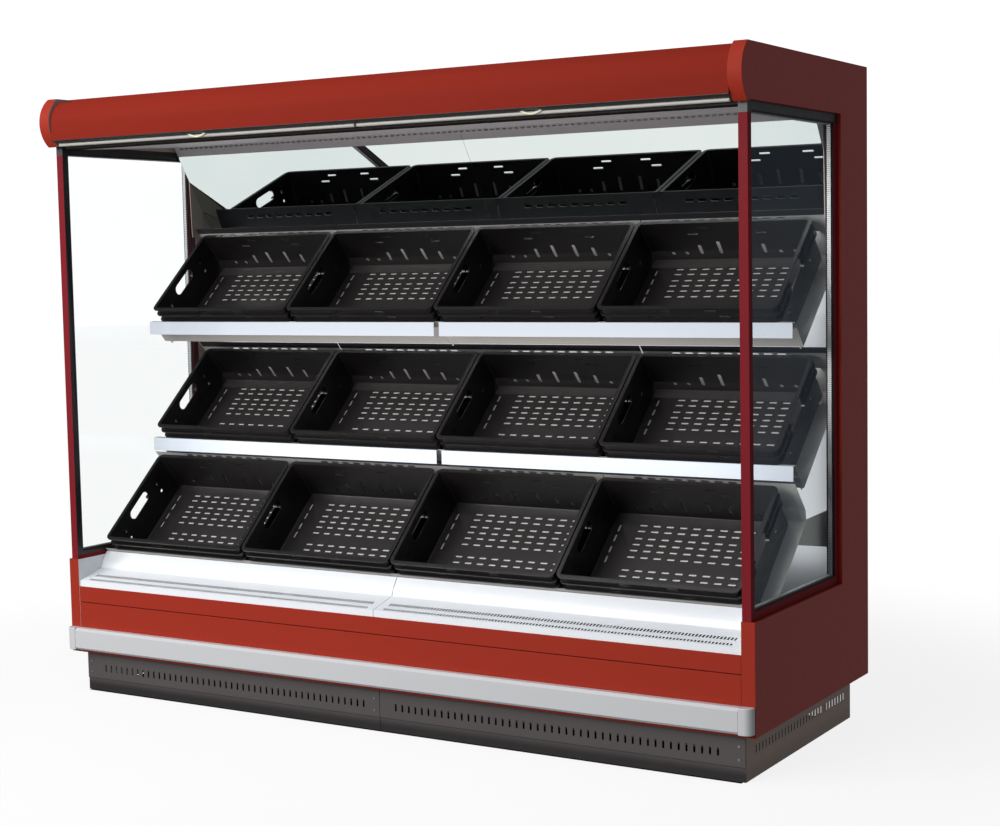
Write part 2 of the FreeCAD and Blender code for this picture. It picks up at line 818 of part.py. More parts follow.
MIRROR_INSIDE = INSIDE - d.end_bracket_thickness - d.seat_gap
CARRIER_DEPTH = d.mirror_thickness + d.seat_gap + d.sheet
CARRIER_REACH = UPRIGHT - d.seat_gap - d.mirror_top - CARRIER_DEPTH * sine(d.mirror_lean)
CARRIER_END = CARRIER_REACH / cosine(d.mirror_lean)


def make_mirrors():
    """Mirror glass in hooked sheet carriers, and the tapered plates at the canopy's ends."""
    hook = CARRIER_END - d.sheet
    back = d.mirror_thickness + d.seat_gap
    section = [
        (CARRIER_TOP, sized(0)), (d.mirror_band, sized(0)), (d.mirror_band, back), (hook, back),
        (hook, -d.seat_gap), (hook - d.mirror_hook, -d.seat_gap),
        (hook - d.mirror_hook, -d.seat_gap - d.thin_sheet), (CARRIER_END, -d.seat_gap - d.thin_sheet),
        (CARRIER_END, CARRIER_DEPTH), (d.mirror_band - d.sheet, CARRIER_DEPTH),
        (d.mirror_band - d.sheet, d.sheet), (CARRIER_TOP, d.sheet),
    ]
    carriers, glasses, plates = [], [], []
    for name, side in BOTH:
        x = side_span(side, d.bay_joint / 2, MIRROR_INSIDE)
        carriers.append(lean(prism(f"carrier_{name}", section, x, shift=0)))
        glass = [(d.mirror_band + d.seat_gap, sized(0)), (hook - d.seat_gap, sized(0)),
                 (hook - d.seat_gap, d.mirror_thickness), (d.mirror_band + d.seat_gap, d.mirror_thickness)]
        glasses.append(lean(prism(f"mirror_{name}", glass, x, shift=0)))
        top = TOP - d.end_bracket_top_drop
        low = top - d.end_bracket_length
        start = d.end_bracket_front
        plate = [
            (start, top), (start + d.end_bracket_taper, low),
            (start + d.end_bracket_taper + d.end_bracket_bottom_width, low),
            (start + d.end_bracket_top_width, top),
        ]
        limits = side_span(side, INSIDE - d.end_bracket_thickness, INSIDE)
        plates.append(prism(f"end_bracket_{name}", plate, limits))
    node("mirror_carriers", group("mirror_carriers", carriers))
    node("mirrors", group("mirrors", glasses))
    node("mirror_end_brackets", group("mirror_end_brackets", plates))


# ---------------------------------------------------------------- night blinds

BAR_TOP = TOP - d.bar_top_drop
ROLLER_HEIGHT = TOP - d.roller_drop


def make_blinds():
    """A wound roller, its hanging end and a pull bar with a grip in each bay."""
    half_cheek = d.cheek_thickness / 2
    for name, side in BOTH:
        near = half_cheek + d.roller_end_gap
        far = INSIDE - d.cheek_thickness - d.roller_end_gap
        wound = side_span(side, near, far)
        pins = side_span(side, d.seat_gap, INSIDE - d.seat_gap)
        centre = (d.roller_centre, ROLLER_HEIGHT)
        roll = rod(f"roll_{name}", d.roller_radius, (wound[0], *centre), wound[1] - wound[0], "x")
        axle = rod(f"roll_axle_{name}", d.pin_radius, (pins[0], *centre), pins[1] - pins[0], "x")
        node(f"blind_roller_{name}", fused(f"blind_roller_{name}", [roll, axle]))
        make_curtain(name, side)
        make_bar(name, side)


def make_curtain(name, side):
    """The short end of the curtain that hangs from the roll to the bar."""
    front = d.roller_centre - d.roller_radius - d.seat_gap
    strip = block(f"blind_curtain_{name}", side_span(side, d.curtain_inset, BAY - d.curtain_inset),
                  (front - d.curtain_thickness, front), (BAR_TOP, ROLLER_HEIGHT))
    node(f"blind_curtain_{name}", strip)


def make_bar(name, side):
    """Pull bar with a curved grip on its front face."""
    low = BAR_TOP - d.bar_height
    bar = block(f"bar_{name}", side_span(side, d.bar_inset / 2, BAY - d.bar_inset),
                (d.bar_front, d.bar_rear), (low, BAR_TOP))
    half = d.grip_width / 2
    radius = (half * half + d.grip_sag * d.grip_sag) / (2 * d.grip_sag)
    middle = side * BAY / 2
    ends = BAR_TOP - 1
    grip = doc.addObject("PartDesign::Body", f"grip_{name}")
    sketch = sketch_on(grip, "XZ_Plane", -FRONT - d.bar_front)
    loop = [
        (middle - half, ends), (middle + half, ends), (middle + half - d.grip_strip, ends),
        (middle - half + d.grip_strip, ends),
    ]
    outline(sketch, loop, arcs={0: radius, 2: d.grip_strip - radius})
    pad = grip.newObject("PartDesign::Pad", f"grip_pad_{name}")
    pad.Profile = sketch
    bind(pad, "Length", d.grip_thickness)
    node(f"blind_bar_{name}", fused(f"blind_bar_{name}", [bar, grip]))


# ---------------------------------------------------------------- front

def make_front():
    """Folded front panels, the bumper with its end caps, the air-return grilles and the deck's edge."""
    depth = (sized(0), d.tank_front - d.seat_gap)
    for name, low, high in (("lower", d.plinth_height, d.front_seam - d.front_seam_gap),
                            ("upper", d.front_seam, d.front_top)):
        skin = block(f"panel_skin_{name}", (-INSIDE, INSIDE), depth, (low, high))
        inside = block(f"panel_inside_{name}", (-INSIDE + d.sheet, INSIDE - d.sheet),
                       (d.sheet, d.tank_front + 1), (low + d.sheet, high - d.sheet))
        node(f"front_panel_{name}", without(f"front_panel_{name}", skin, inside))
    make_bumper()
    make_grilles()


def make_bumper():
    """Hollow bumper extrusion and its rounded end caps."""
    def section(grow):
        low, high = d.bumper_bottom - grow, d.bumper_top + grow
        face, corner = -d.bumper_reach - grow, d.bumper_corner
        rear = -d.seat_gap - (0 if grow.value >= 0 else -grow)
        return [(rear, low), (face + corner, low), (face, low + corner), (face, high - corner),
                (face + corner, high), (rear, high)]

    start = END - d.bumper_cap
    solid = prism("bumper_outside", section(sized(0)), (-start, start))
    hollow = prism("bumper_inside", section(-d.bumper_wall), (-start - 1, start + 1))
    node("bumper_rail", without("bumper_rail", solid, hollow))
    caps = []
    low, high = d.bumper_bottom - 1, d.bumper_top + 1
    face = -d.bumper_reach - 1
    for name, side in BOTH:
        near, bend, far = side * start, side * (END - 1 - d.bumper_cap_round), side * (END - 1)
        plan = [(near, -d.seat_gap), (near, face), (bend, face), (far, face + d.bumper_cap_round),
                (far, -d.seat_gap)]
        caps.append(prism(f"bumper_cap_{name}", plan, (low, high),
                          arcs={2: side * d.bumper_cap_round}, plane="XY_Plane"))
    node("bumper_caps", group("bumper_caps", caps))


def make_grilles():
    """Air-return grille sheets and the folded deck edges behind them."""
    front, start = d.grille_front, d.front_top + d.seat_gap
    rear, rear_height = front + d.grille_run, d.grille_rise_start + d.grille_rise
    thin = d.thin_sheet
    grille = [
        (front, start), (front, d.grille_rise_start), (rear, rear_height), (rear, rear_height - thin),
        (front + thin, d.grille_rise_start - thin), (front + thin, start),
    ]
    foot, knee = rear + d.deck_step, rear_height + d.deck_step
    bend = (foot + d.deck_riser_run, knee + d.deck_riser_rise)
    top = ROWS["lower"].point(d.tray_front - d.sheet, d.deck_top_drop)
    ledge = rear - d.ledge_reach + d.deck_step
    slope = d.grille_rise / d.grille_run
    ledge_height = rear_height - (rear - ledge) * slope - thin - d.seat_gap
    edge = [
        (ledge, ledge_height), (foot, ledge_height), (foot, knee), bend, top,
        (top[0] + thin, top[1] - thin / 2), (bend[0] + thin, bend[1] - thin / 2),
        (foot + thin, knee - thin / 2), (foot + thin, ledge_height - thin), (ledge, ledge_height - thin),
    ]
    grilles, edges = [], []
    for name, side in BOTH:
        x = side_span(side, d.bay_joint, INSIDE)
        grilles.append(prism(f"grille_{name}", grille, x))
        edges.append(prism(f"deck_edge_{name}", edge, x))
    node("return_grilles", group("return_grilles", grilles))
    node("deck_fronts", group("deck_fronts", edges))


# ---------------------------------------------------------------- shelving

def make_tray_pair(name, rise):
    """Folded trays for both bays in the slope's own frame; rise is the rear wall's top above the rims."""
    front, rear, sheet_in = d.tray_front, d.tray_rear, d.sheet
    knee = rear - d.tray_bevel_run
    lip, top, bottom = -d.tray_lip_drop, -TRAY_TOP, -TRAY_UNDERSIDE
    section = [
        (front, lip), (front, bottom), (knee, bottom), (rear + sheet_in, bottom + d.tray_bevel_rise),
        (rear + sheet_in, rise), (rear, rise), (rear, top + d.tray_bevel_rise),
        (knee - sheet_in / 2, top), (front + sheet_in, top), (front + sheet_in, lip),
    ]
    bays = []
    for end, side in BOTH:
        # the trays stop short of the plates that hold the mirror's ends
        limits = side_span(side, d.bay_joint / 2, MIRROR_INSIDE)
        body = prism(f"{name}_{end}", section, limits, shift=0)
        for column in range(2):
            first = side * (column + 0.5) * CRATE_PITCH - d.tray_slot_span / 2
            slot_row(body, "XZ_Plane", first, -d.tray_slot_drop, d.tray_slot_length, d.tray_slot_height,
                     d.tray_slots, d.tray_slot_span)
        middle = side * CRATE_PITCH
        split = block(f"{name}_split_{end}", (middle - d.tray_split / 2, middle + d.tray_split / 2),
                      (rear - 1, rear + sheet_in + 1), (top / 2, rise + 1), shift=0)
        bays.append(without(f"{name}_bay_{end}", body, split))
    return group(name, bays)


def make_trays():
    """The lower tray, with its rear wall cut short under the rail above it, and the two shelf trays."""
    lower = make_tray_pair("lower_tray", d.lower_tray_rise)
    shelf = make_tray_pair("shelf_tray", d.shelf_tray_rise)
    for name, row in ROWS.items():
        pair = lower if name == "lower" else shelf
        node(f"crate_tray_{name}", on_slope(group(f"crate_tray_{name}", [pair]), row))


def make_rails():
    """Price rails clipped along the front lips of the two shelf trays."""
    rails = []
    for level in ("upper", "middle"):
        row = ROWS[level]
        top = row.point(sized(0), d.crate_skirt)[1] - d.seat_gap
        front, low = row.front + d.rail_reach, top - d.rail_height
        lip_drop = (row.height + d.tray_front * SIN - top) / COS
        rear = row.point(d.tray_front, lip_drop)[0] - d.seat_gap
        foot, thin = front + d.rail_foot, d.thin_sheet
        section = [
            (rear, top), (front, top), (front, low), (foot, low), (foot, low + thin),
            (front + thin, low + thin), (front + thin, top - thin), (rear, top - thin),
        ]
        for name, side in BOTH:
            rails.append(prism(f"rail_{level}_{name}", section,
                               side_span(side, d.rail_joint, BAY - d.rail_end_gap)))
    node("price_rails", group("price_rails", rails))


def make_supports():
    """Slotted uprights, the brackets hooked to them and the back panels between them."""
    outer_middle = BAY - d.upright_inset
    half, wall = d.upright_width / 2, d.upright_wall
    posts, arms, panels = [], [], []
    for number, middle in enumerate((-outer_middle, sized(0), outer_middle)):
        post = block(f"post_{number}", (middle - half, middle + half), (UPRIGHT, UPRIGHT + d.upright_depth),
                     (FLOOR, CEILING))
        hollow = block(f"post_inside_{number}", (middle - half + wall, middle + half - wall),
                       (UPRIGHT + wall, UPRIGHT + d.upright_depth - wall), (FLOOR - 1, CEILING + 1))
        posts.append(without(f"upright_{number}", post, hollow))
        thickness = d.bracket_thickness / 2
        for level, row in ROWS.items():
            arms.append(prism(f"bracket_{level}_{number}", bracket_section(row),
                              (middle - thickness, middle + thickness)))
    top = TOP - d.mirror_top_drop - CARRIER_END * sine(d.mirror_lean) - d.panel_split
    for name, side in BOTH:
        x = side_span(side, d.panel_split, outer_middle - d.panel_split)
        panels.append(block(f"back_panel_{name}", x, (UPRIGHT - d.sheet, UPRIGHT),
                            (d.back_panel_bottom, top)))
    node("uprights", group("uprights", posts))
    node("shelf_brackets", group("shelf_brackets", arms))
    node("back_panels", group("back_panels", panels))


def bracket_section(row):
    """Side view of a bracket: along the tray's underside, then back to the upright."""
    seat = TRAY_UNDERSIDE + d.seat_gap
    start = d.tray_front + 2 * d.tray_front
    end = row.point(d.tray_rear - d.tray_bevel_run, seat)
    return [
        row.point(start, seat), row.point(start, seat + d.bracket_front_depth),
        row.point(d.bracket_knee, seat + d.bracket_knee_depth), (UPRIGHT, end[1] - d.bracket_root),
        (UPRIGHT, end[1] + d.tray_to_upright), (end[0] + d.tray_bevel_run / 20, end[1]),
    ]


# ---------------------------------------------------------------- cooling

FAN_HOLE = d.fan_radius + d.fan_tip_gap
FAN_HEIGHT = FLOOR + d.fan_floor_gap + FAN_HOLE


def make_fans():
    """Bulkhead with two axial fans, their rotors running on the motors' shafts."""
    depth, top = d.fan_plate_depth, d.fan_plate_top
    section = [
        (depth, FLOOR), (depth + d.sheet, FLOOR), (depth + d.sheet, top - d.sheet),
        (depth + d.fan_plate_flange, top - d.sheet), (depth + d.fan_plate_flange, top), (depth, top),
    ]
    plate = prism("fan_bulkhead", section, (-INSIDE, INSIDE))
    holes, motors = [], []
    for name, side in BOTH:
        middle = side * BAY / 2
        holes.append(rod(f"fan_hole_{name}", FAN_HOLE, (middle, depth - 1, FAN_HEIGHT), d.sheet + 2, "y"))
        motors.append(make_motor(name, middle))
        node(f"fan_rotor_{name}", make_rotor(name, middle))
    node("fan_plate", without("fan_plate", plate, group("fan_holes", holes)))
    node("fan_motors", group("fan_motors", motors))


def turned(item, middle, angle):
    """Turn an item drawn round the fan's axis, and put it on that axis."""
    item.Placement = Placement(Vector(), Rotation(Vector(0, 1, 0), angle))
    put(item, middle, d.fan_plate_depth + FRONT, FAN_HEIGHT)
    return item


def make_motor(name, middle):
    """Motor, shaft and three arms that stand on the bulkhead."""
    start = d.fan_plate_depth + d.motor_setback
    shaft_start = d.fan_plate_depth - d.fan_hub_length / 2 - d.shaft_reach
    case = rod(f"motor_case_{name}", d.motor_radius, (middle, start, FAN_HEIGHT), d.motor_length, "y")
    shaft = rod(f"motor_shaft_{name}", d.fan_shaft_radius, (middle, shaft_start, FAN_HEIGHT),
                start - shaft_start + 1, "y")
    pieces = [case, shaft]
    reach = FAN_HOLE + 2 * d.motor_arm
    half = d.motor_arm / 2
    for number in range(3):
        arm = block(f"motor_arm_{name}_{number}", (-half, half),
                    (d.motor_setback + d.motor_arm, d.motor_setback + 2 * d.motor_arm),
                    (d.motor_radius - d.arm_root, reach), shift=0)
        leg = block(f"motor_leg_{name}_{number}", (-half, half),
                    (d.sheet, d.motor_setback + 2 * d.motor_arm), (reach - d.motor_arm, reach), shift=0)
        strut = fused(f"motor_strut_{name}_{number}", [arm, leg])
        pieces.append(turned(strut, middle, 120 * number))
    return fused(f"fan_motor_{name}", pieces)


def make_rotor(name, middle):
    """Hub with pitched blades and a bore for the motor's shaft."""
    half = d.fan_hub_length / 2
    start = d.fan_plate_depth - half
    hub = rod(f"hub_{name}", d.fan_hub_radius, (middle, start, FAN_HEIGHT), d.fan_hub_length, "y")
    pieces = [hub]
    count = int(d.fan_blades.value)
    for number in range(count):
        blade = doc.addObject("Part::Box", f"blade_{name}_{number}")
        bind(blade, "Length", d.fan_blade_width)
        bind(blade, "Width", d.thin_sheet)
        bind(blade, "Height", d.fan_radius - d.fan_hub_radius + d.blade_root)
        blade.Placement = Placement(Vector(), Rotation(Vector(0, 0, 1), d.fan_blade_pitch.value))
        bind(blade, "Placement.Rotation.Angle", d.fan_blade_pitch)
        half_width = d.fan_blade_width / 2
        put(blade, -half_width * cosine(d.fan_blade_pitch), -half_width * sine(d.fan_blade_pitch),
            d.fan_hub_radius - d.blade_root)
        ring = group(f"blade_turn_{name}_{number}", [blade])
        pieces.append(turned(ring, middle, 360 * number / count))
    bore = rod(f"hub_bore_{name}", d.fan_shaft_radius + d.bore_clearance,
               (middle, start - 1, FAN_HEIGHT), d.fan_hub_length + 2, "y")
    return without(f"fan_rotor_{name}", fused(f"rotor_{name}", pieces), bore)


def make_evaporator():
    """Finned coil with end plates that stand on the tank's floor."""
    low = FLOOR + d.coil_tube_radius
    top = FLOOR + d.coil_height
    reach = d.coil_half_length
    plate = d.coil_end_plate
    pieces = []
    for number in (0, 1):
        start = -reach if number == 0 else reach - plate
        pieces.append(block(f"coil_end_{number}", (start, start + plate),
                            (d.coil_front, d.coil_front + d.coil_depth), (FLOOR, top)))
    fins = int(d.coil_fins.value)
    pitch = (2 * reach - 2 * plate) / (d.coil_fins + 1)
    for number in range(fins):
        start = -reach + plate + pitch * (number + 1) - d.coil_fin / 2
        pieces.append(block(f"coil_fin_{number}", (start, start + d.coil_fin),
                            (d.coil_front, d.coil_front + d.coil_depth), (low, top)))
    across = d.coil_depth / d.coil_columns
    rise = (top - low) / d.coil_tube_rows
    for column in range(int(d.coil_columns.value)):
        for level in range(int(d.coil_tube_rows.value)):
            start = (-reach, d.coil_front + across * (column + 0.5), low + rise * (level + 0.5))
            pieces.append(rod(f"coil_tube_{column}_{level}", d.coil_tube_radius, start, 2 * reach, "x"))
    node("evaporator", fused("evaporator", pieces))


# ---------------------------------------------------------------- crates

def make_crates():
    """One crate, drawn in the slope's own frame, laid twelve times."""
    length, width, height = d.crate_length, d.crate_width, d.crate_height
    reach, rib, wall = d.crate_rib_reach, d.crate_rib, d.crate_wall
    outer = block("crate_box", (reach, length - reach), (reach, width - reach), (-height, sized(0)), shift=0)
    ribs = []
    for number, top in enumerate((sized(0), -(d.crate_skirt - rib) / 2, -d.crate_skirt + rib)):
        ribs.append(block(f"crate_rib_{number}", (sized(0), length), (sized(0), width), (top - rib, top),
                          shift=0))
    inset = reach + wall
    inside = block("crate_inside", (inset, length - inset), (inset, width - inset),
                   (-height + d.crate_floor, sized(1)), shift=0)
    shell = without("crate_shell", fused("crate_outside", [outer, *ribs]), inside)
    crate = without("crate", shell, hand_hole())
    for level, row in ROWS.items():
        for column in range(4):
            name = f"crate_{level}_{column + 1}"
            x = CRATE_PITCH * (column - 2) + d.crate_gap / 2
            node(name, on_slope(group(name, [crate]), row, x))


def hand_hole():
    """Round-ended opening through both short ends of the crate."""
    radius = d.hand_hole_height / 2
    middle = d.crate_width / 2 - d.hand_hole_offset
    reach = d.hand_hole_length / 2 - radius
    drop = -d.hand_hole_drop - radius
    x = (sized(-1), d.crate_length + 1)
    pieces = [block("hand_hole_middle", x, (middle - reach, middle + reach), (drop - radius, drop + radius),
                    shift=0)]
    for number, depth in enumerate((middle - reach, middle + reach)):
        pieces.append(rod(f"hand_hole_end_{number}", radius, (x[0], depth, drop), x[1] - x[0], "x", shift=0))
    return fused("hand_hole", pieces)


# ---------------------------------------------------------------- build, check and write

make_base()
make_plinth()
make_body()
make_end_panels()
make_side_windows()
make_canopy()
make_ceiling()
make_mirrors()
make_blinds()
make_front()
make_trays()
make_rails()
make_supports()
make_fans()
make_evaporator()
make_crates()
doc.recompute()

for item in doc.Objects:
    if "Invalid" in item.State or "Error" in item.State:
        raise RuntimeError(f"{item.Name} could not be built")
for name, item in NODES.items():
    if item.Shape.isNull() or not item.Shape.isValid():
        raise RuntimeError(f"{name} has no valid shape")

os.makedirs("parts", exist_ok=True)
for name, item in NODES.items():
    item.Shape.exportStep(f"parts/{name}.step")
    box = item.Shape.BoundBox
    print(f"{name:24s} solids {len(item.Shape.Solids):3d}  x {box.XMin:8.1f}{box.XMax:8.1f}"
          f"  y {box.YMin:8.1f}{box.YMax:8.1f}  z {box.ZMin:7.1f}{box.ZMax:7.1f}")
print(len(NODES), "sub-parts")
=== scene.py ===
import bpy
import bmesh
import math
from mathutils import Matrix, Vector


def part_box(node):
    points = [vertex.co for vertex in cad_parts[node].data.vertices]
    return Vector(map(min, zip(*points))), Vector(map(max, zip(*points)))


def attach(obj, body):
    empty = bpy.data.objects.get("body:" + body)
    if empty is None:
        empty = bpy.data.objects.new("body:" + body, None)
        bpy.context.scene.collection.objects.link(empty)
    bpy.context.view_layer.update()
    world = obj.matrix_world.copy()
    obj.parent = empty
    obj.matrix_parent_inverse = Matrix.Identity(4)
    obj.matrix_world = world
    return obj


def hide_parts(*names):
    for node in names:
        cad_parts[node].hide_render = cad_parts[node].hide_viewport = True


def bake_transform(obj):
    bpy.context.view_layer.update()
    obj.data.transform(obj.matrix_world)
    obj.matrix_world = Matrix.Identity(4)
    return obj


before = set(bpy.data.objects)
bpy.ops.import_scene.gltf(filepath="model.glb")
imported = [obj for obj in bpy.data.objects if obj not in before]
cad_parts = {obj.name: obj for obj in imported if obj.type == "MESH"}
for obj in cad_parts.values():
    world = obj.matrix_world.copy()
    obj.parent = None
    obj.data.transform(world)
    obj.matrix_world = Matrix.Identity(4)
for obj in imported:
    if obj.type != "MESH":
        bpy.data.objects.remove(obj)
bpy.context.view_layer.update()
print("frame loaded")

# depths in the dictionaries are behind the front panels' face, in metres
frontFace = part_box("front_panel_lower")[0].y
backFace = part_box("back_panels")[0].y
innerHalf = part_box("end_panel_right")[0].x
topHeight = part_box("roof_panel")[1].z


def linear(code):
    # colour as the eye reads it, such as "98301F", to the renderer's linear values
    parts = [int(code[i:i + 2], 16) / 255 for i in (0, 2, 4)]
    return [p / 12.92 if p <= 0.04045 else ((p + 0.055) / 1.055) ** 2.4 for p in parts] + [1.0]


class Wire:
    # one output socket; sums and products on it add Math nodes
    def __init__(self, shade, socket):
        self.shade = shade
        self.socket = socket

    def math(self, operation, first, second):
        return self.shade.node("Math", {"operation": operation}, {0: first, 1: second})

    def __add__(self, other):
        return self.math("ADD", self, other)

    def __radd__(self, other):
        return self.math("ADD", other, self)

    def __sub__(self, other):
        return self.math("SUBTRACT", self, other)

    def __rsub__(self, other):
        return self.math("SUBTRACT", other, self)

    def __mul__(self, other):
        return self.math("MULTIPLY", self, other)

    def __rmul__(self, other):
        return self.math("MULTIPLY", other, self)

    def __gt__(self, other):
        return self.math("GREATER_THAN", self, other)

    def __lt__(self, other):
        return self.math("LESS_THAN", self, other)


class Shade:
    # a material under construction
    def __init__(self, name):
        self.material = bpy.data.materials.new(name)
        self.material.use_nodes = True
        self.tree = self.material.node_tree
        self.tree.nodes.clear()

    def feed(self, socket, value):
        if isinstance(value, Wire):
            self.tree.links.new(value.socket, socket)
        else:
            socket.default_value = value

    def node(self, kind, settings=None, values=None, out=0):
        made = self.tree.nodes.new("ShaderNode" + kind)
        for key, value in (settings or {}).items():
            setattr(made, key, value)
        for key, value in (values or {}).items():
            self.feed(made.inputs[key], value)
        return Wire(self, made.outputs[out])

    def place(self):
        return self.node("TexCoord", out="Object")

    def noise(self, scale, detail=3.0, stretch=(1, 1, 1)):
        spot = self.node("Mapping", values={"Vector": self.place(), "Scale": stretch})
        return self.node("TexNoise", values={"Vector": spot, "Scale": scale, "Detail": detail}, out=0)

    def mix(self, amount, first, second):
        return self.node("Mix", {"data_type": "RGBA"}, {0: amount, 6: first, 7: second}, out=2)

    def bump(self, height, depth, strength=1.0):
        return self.node("Bump", values={"Height": height, "Distance": depth, "Strength": strength})

    def close(self, shader):
        end = self.tree.nodes.new("ShaderNodeOutputMaterial")
        self.tree.links.new(shader.socket, end.inputs["Surface"])
        return self.material


# every coated, moulded or bare surface: main colour, colour of its faint clouds, how strong the
# clouds are, roughness and its spread, grain size in 1/m and depth in m
finishes = {
    "redPaint": dict(colour="9C3020", cloud="8A2822", clouds=0.35, rough=0.55, spread=0.10,
                     grain=900, depth=0.00004, shine=0.08),
    # painted light: a lighter, shinier copy of the red paint for the end panels' outer sides
    "litSideRedPaint": dict(colour="A8382F", cloud="90302B", clouds=0.35, rough=0.50, spread=0.10,
                      grain=900, depth=0.00004, shine=0.40),
    # painted shade: a darker copy of the red paint for the fascia's curl
    "shadedFasciaPaint": dict(colour="84271B", cloud="74201B", clouds=0.35, rough=0.55, spread=0.10,
                        grain=900, depth=0.00004, shine=0.02),
    # painted shade: a darker copy of the red paint for the window frames
    "shadedRedPaint": dict(colour="7C1E26", cloud="6C1A22", clouds=0.4, rough=0.50, spread=0.10,
                         grain=900, depth=0.00004, shine=0.05),
    "whiteSheet": dict(colour="EDF0F4", cloud="DDE1E6", clouds=0.4, rough=0.38, spread=0.12,
                       grain=1100, depth=0.00003, coat=0.1),
    "railSheet": dict(colour="C6CCD5", cloud="BAC0CA", clouds=0.4, rough=0.40, spread=0.12,
                      grain=1000, depth=0.00003),
    "greySheet": dict(colour="C9C2C3", cloud="B8B1B2", clouds=0.45, rough=0.42, spread=0.12,
                      grain=1000, depth=0.00003),
    "lipSheet": dict(colour="A8A39F", cloud="99948F", clouds=0.45, rough=0.45, spread=0.12,
                     grain=1000, depth=0.00003),
    "stoneSheet": dict(colour="DAD8CB", cloud="C6C4B6", clouds=0.5, rough=0.45, spread=0.12,
                       grain=1000, depth=0.00003),
    "traySteel": dict(colour="E3E1DE", cloud="CFCCC9", clouds=0.6, rough=0.30, spread=0.14,
                      grain=260, depth=0.00003, metal=0.3),
    # painted shade: dark grey for the trays' rear walls where they show above the crates
    "trayBackShade": dict(colour="2F2E31", cloud="252427", clouds=0.5, rough=0.50, spread=0.12,
                     grain=700, depth=0.00003),
    # painted shade: the tank is dark so that the grille slots above it read dark
    "shadedTankShell": dict(colour="46484C", cloud="3A3C40", clouds=0.5, rough=0.50, spread=0.12,
                      grain=700, depth=0.00004),
    "linerSteel": dict(colour="A39A93", cloud="8A817B", clouds=0.6, rough=0.40, spread=0.16,
                       grain=260, depth=0.00003, metal=0.3),
    "bumperPlastic": dict(colour="C8C8CA", cloud="B9B9BC", clouds=0.4, rough=0.40, spread=0.12,
                          grain=700, depth=0.00005),
    "blackPlastic": dict(colour="17171A", cloud="222226", clouds=0.5, rough=0.42, spread=0.15,
                         grain=600, depth=0.00006),
    "cratePlastic": dict(colour="110F0F", cloud="221F1E", clouds=0.6, rough=0.34, spread=0.22,
                         grain=420, depth=0.00010),
    "crateFloor": dict(colour="2A2626", cloud="1B1818", clouds=0.7, rough=0.42, spread=0.25,
                       grain=300, depth=0.00015),
    "gripPlastic": dict(colour="E9E2C8", cloud="D8D0B4", clouds=0.4, rough=0.35, spread=0.10,
                        grain=600, depth=0.00004, coat=0.1),
    "sealRubber": dict(colour="111113", cloud="1B1B1D", clouds=0.5, rough=0.62, spread=0.15,
                       grain=900, depth=0.00006),
    "honeycombPlastic": dict(colour="3A2F28", cloud="2A221D", clouds=0.5, rough=0.55, spread=0.15,
                             grain=600, depth=0.00005),
    "greyPlastic": dict(colour="75777B", cloud="66686C", clouds=0.4, rough=0.45, spread=0.12,
                        grain=600, depth=0.00005),
    "zincSteel": dict(colour="A9ADB1", cloud="8B9096", clouds=0.8, rough=0.38, spread=0.22,
                      grain=300, depth=0.00003, metal=0.9),
    "satinAluminium": dict(colour="AFADA6", cloud="9E9C96", clouds=0.4, rough=0.55, spread=0.14,
                           grain=500, depth=0.00002, metal=0.25),
}


def surface(name, colour, cloud, clouds, rough, spread, grain, depth, metal=0.0, coat=0.0, shine=0.5):
    shade = Shade(name)
    broad = shade.noise(2.3, 4.0)
    fine = shade.noise(38.0, 5.0)
    tint = shade.mix((broad * 0.6 + fine * 0.4) * clouds, linear(colour), linear(cloud))
    roughness = rough + (fine - 0.5) * spread
    skin = shade.bump(shade.noise(grain, 2.0), depth)
    body = shade.node("BsdfPrincipled", values={
        "Base Color": tint, "Roughness": roughness, "Metallic": metal, "Coat Weight": coat,
        "Coat Roughness": 0.2, "Specular IOR Level": shine, "Normal": skin})
    return shade.close(body)


def clearGlass():
    # see-through pane that mirrors its surroundings a little more towards a low angle
    shade = Shade("clearGlass")
    facing = shade.node("LayerWeight", values={"Blend": 0.2}, out="Facing")
    smear = shade.noise(6.0, 3.0)
    body = shade.node("BsdfTransparent", values={"Color": (0.992, 0.997, 0.997, 1.0)})
    gloss = shade.node("BsdfGlossy", values={
        "Color": (0.70, 0.82, 1.0, 1.0), "Roughness": 0.01 + smear * 0.02})
    return shade.close(shade.node("MixShader", values={0: facing * 0.06 + 0.003, 1: body, 2: gloss}))


def mirrorGlass():
    shade = Shade("mirrorGlass")
    haze = shade.noise(4.0, 4.0)
    body = shade.node("BsdfPrincipled", values={
        "Base Color": shade.mix(haze, linear("DFE6E4"), linear("D6DEDC")), "Metallic": 1.0,
        "Roughness": haze * 0.003})
    return shade.close(body)


def blindCloth():
    # fine plain weave with a foil face
    shade = Shade("blindCloth")
    place = shade.place()
    warp = shade.node("TexWave", {"bands_direction": "X"}, {"Vector": place, "Scale": 260.0}, out="Fac")
    weft = shade.node("TexWave", {"bands_direction": "Z"}, {"Vector": place, "Scale": 260.0}, out="Fac")
    weave = warp * weft
    cloud = shade.noise(9.0, 4.0)
    body = shade.node("BsdfPrincipled", values={
        "Base Color": shade.mix(weave * 0.5 + cloud * 0.3, linear("D3D5D8"), linear("A9ACB1")),
        "Roughness": 0.45 + cloud * 0.15, "Metallic": 0.35, "Sheen Weight": 0.2,
        "Normal": shade.bump(weave, 0.0002)})
    return shade.close(body)


def spacerMetal():
    # light-grey spacer with a close row of breathing holes
    shade = Shade("spacerMetal")
    place = shade.place()
    along = shade.node("SeparateXYZ", values={0: place}, out="Z") + shade.node(
        "SeparateXYZ", values={0: place}, out="Y")
    step = shade.node("Math", {"operation": "FRACT"}, {0: along * 160.0})
    hole = (step > 0.3) * (step < 0.7)
    body = shade.node("BsdfPrincipled", values={
        "Base Color": shade.mix(hole * 0.7, linear("C9CBCB"), linear("4E5050")),
        "Roughness": 0.4 + shade.noise(30.0) * 0.1, "Metallic": 0.5})
    return shade.close(body)


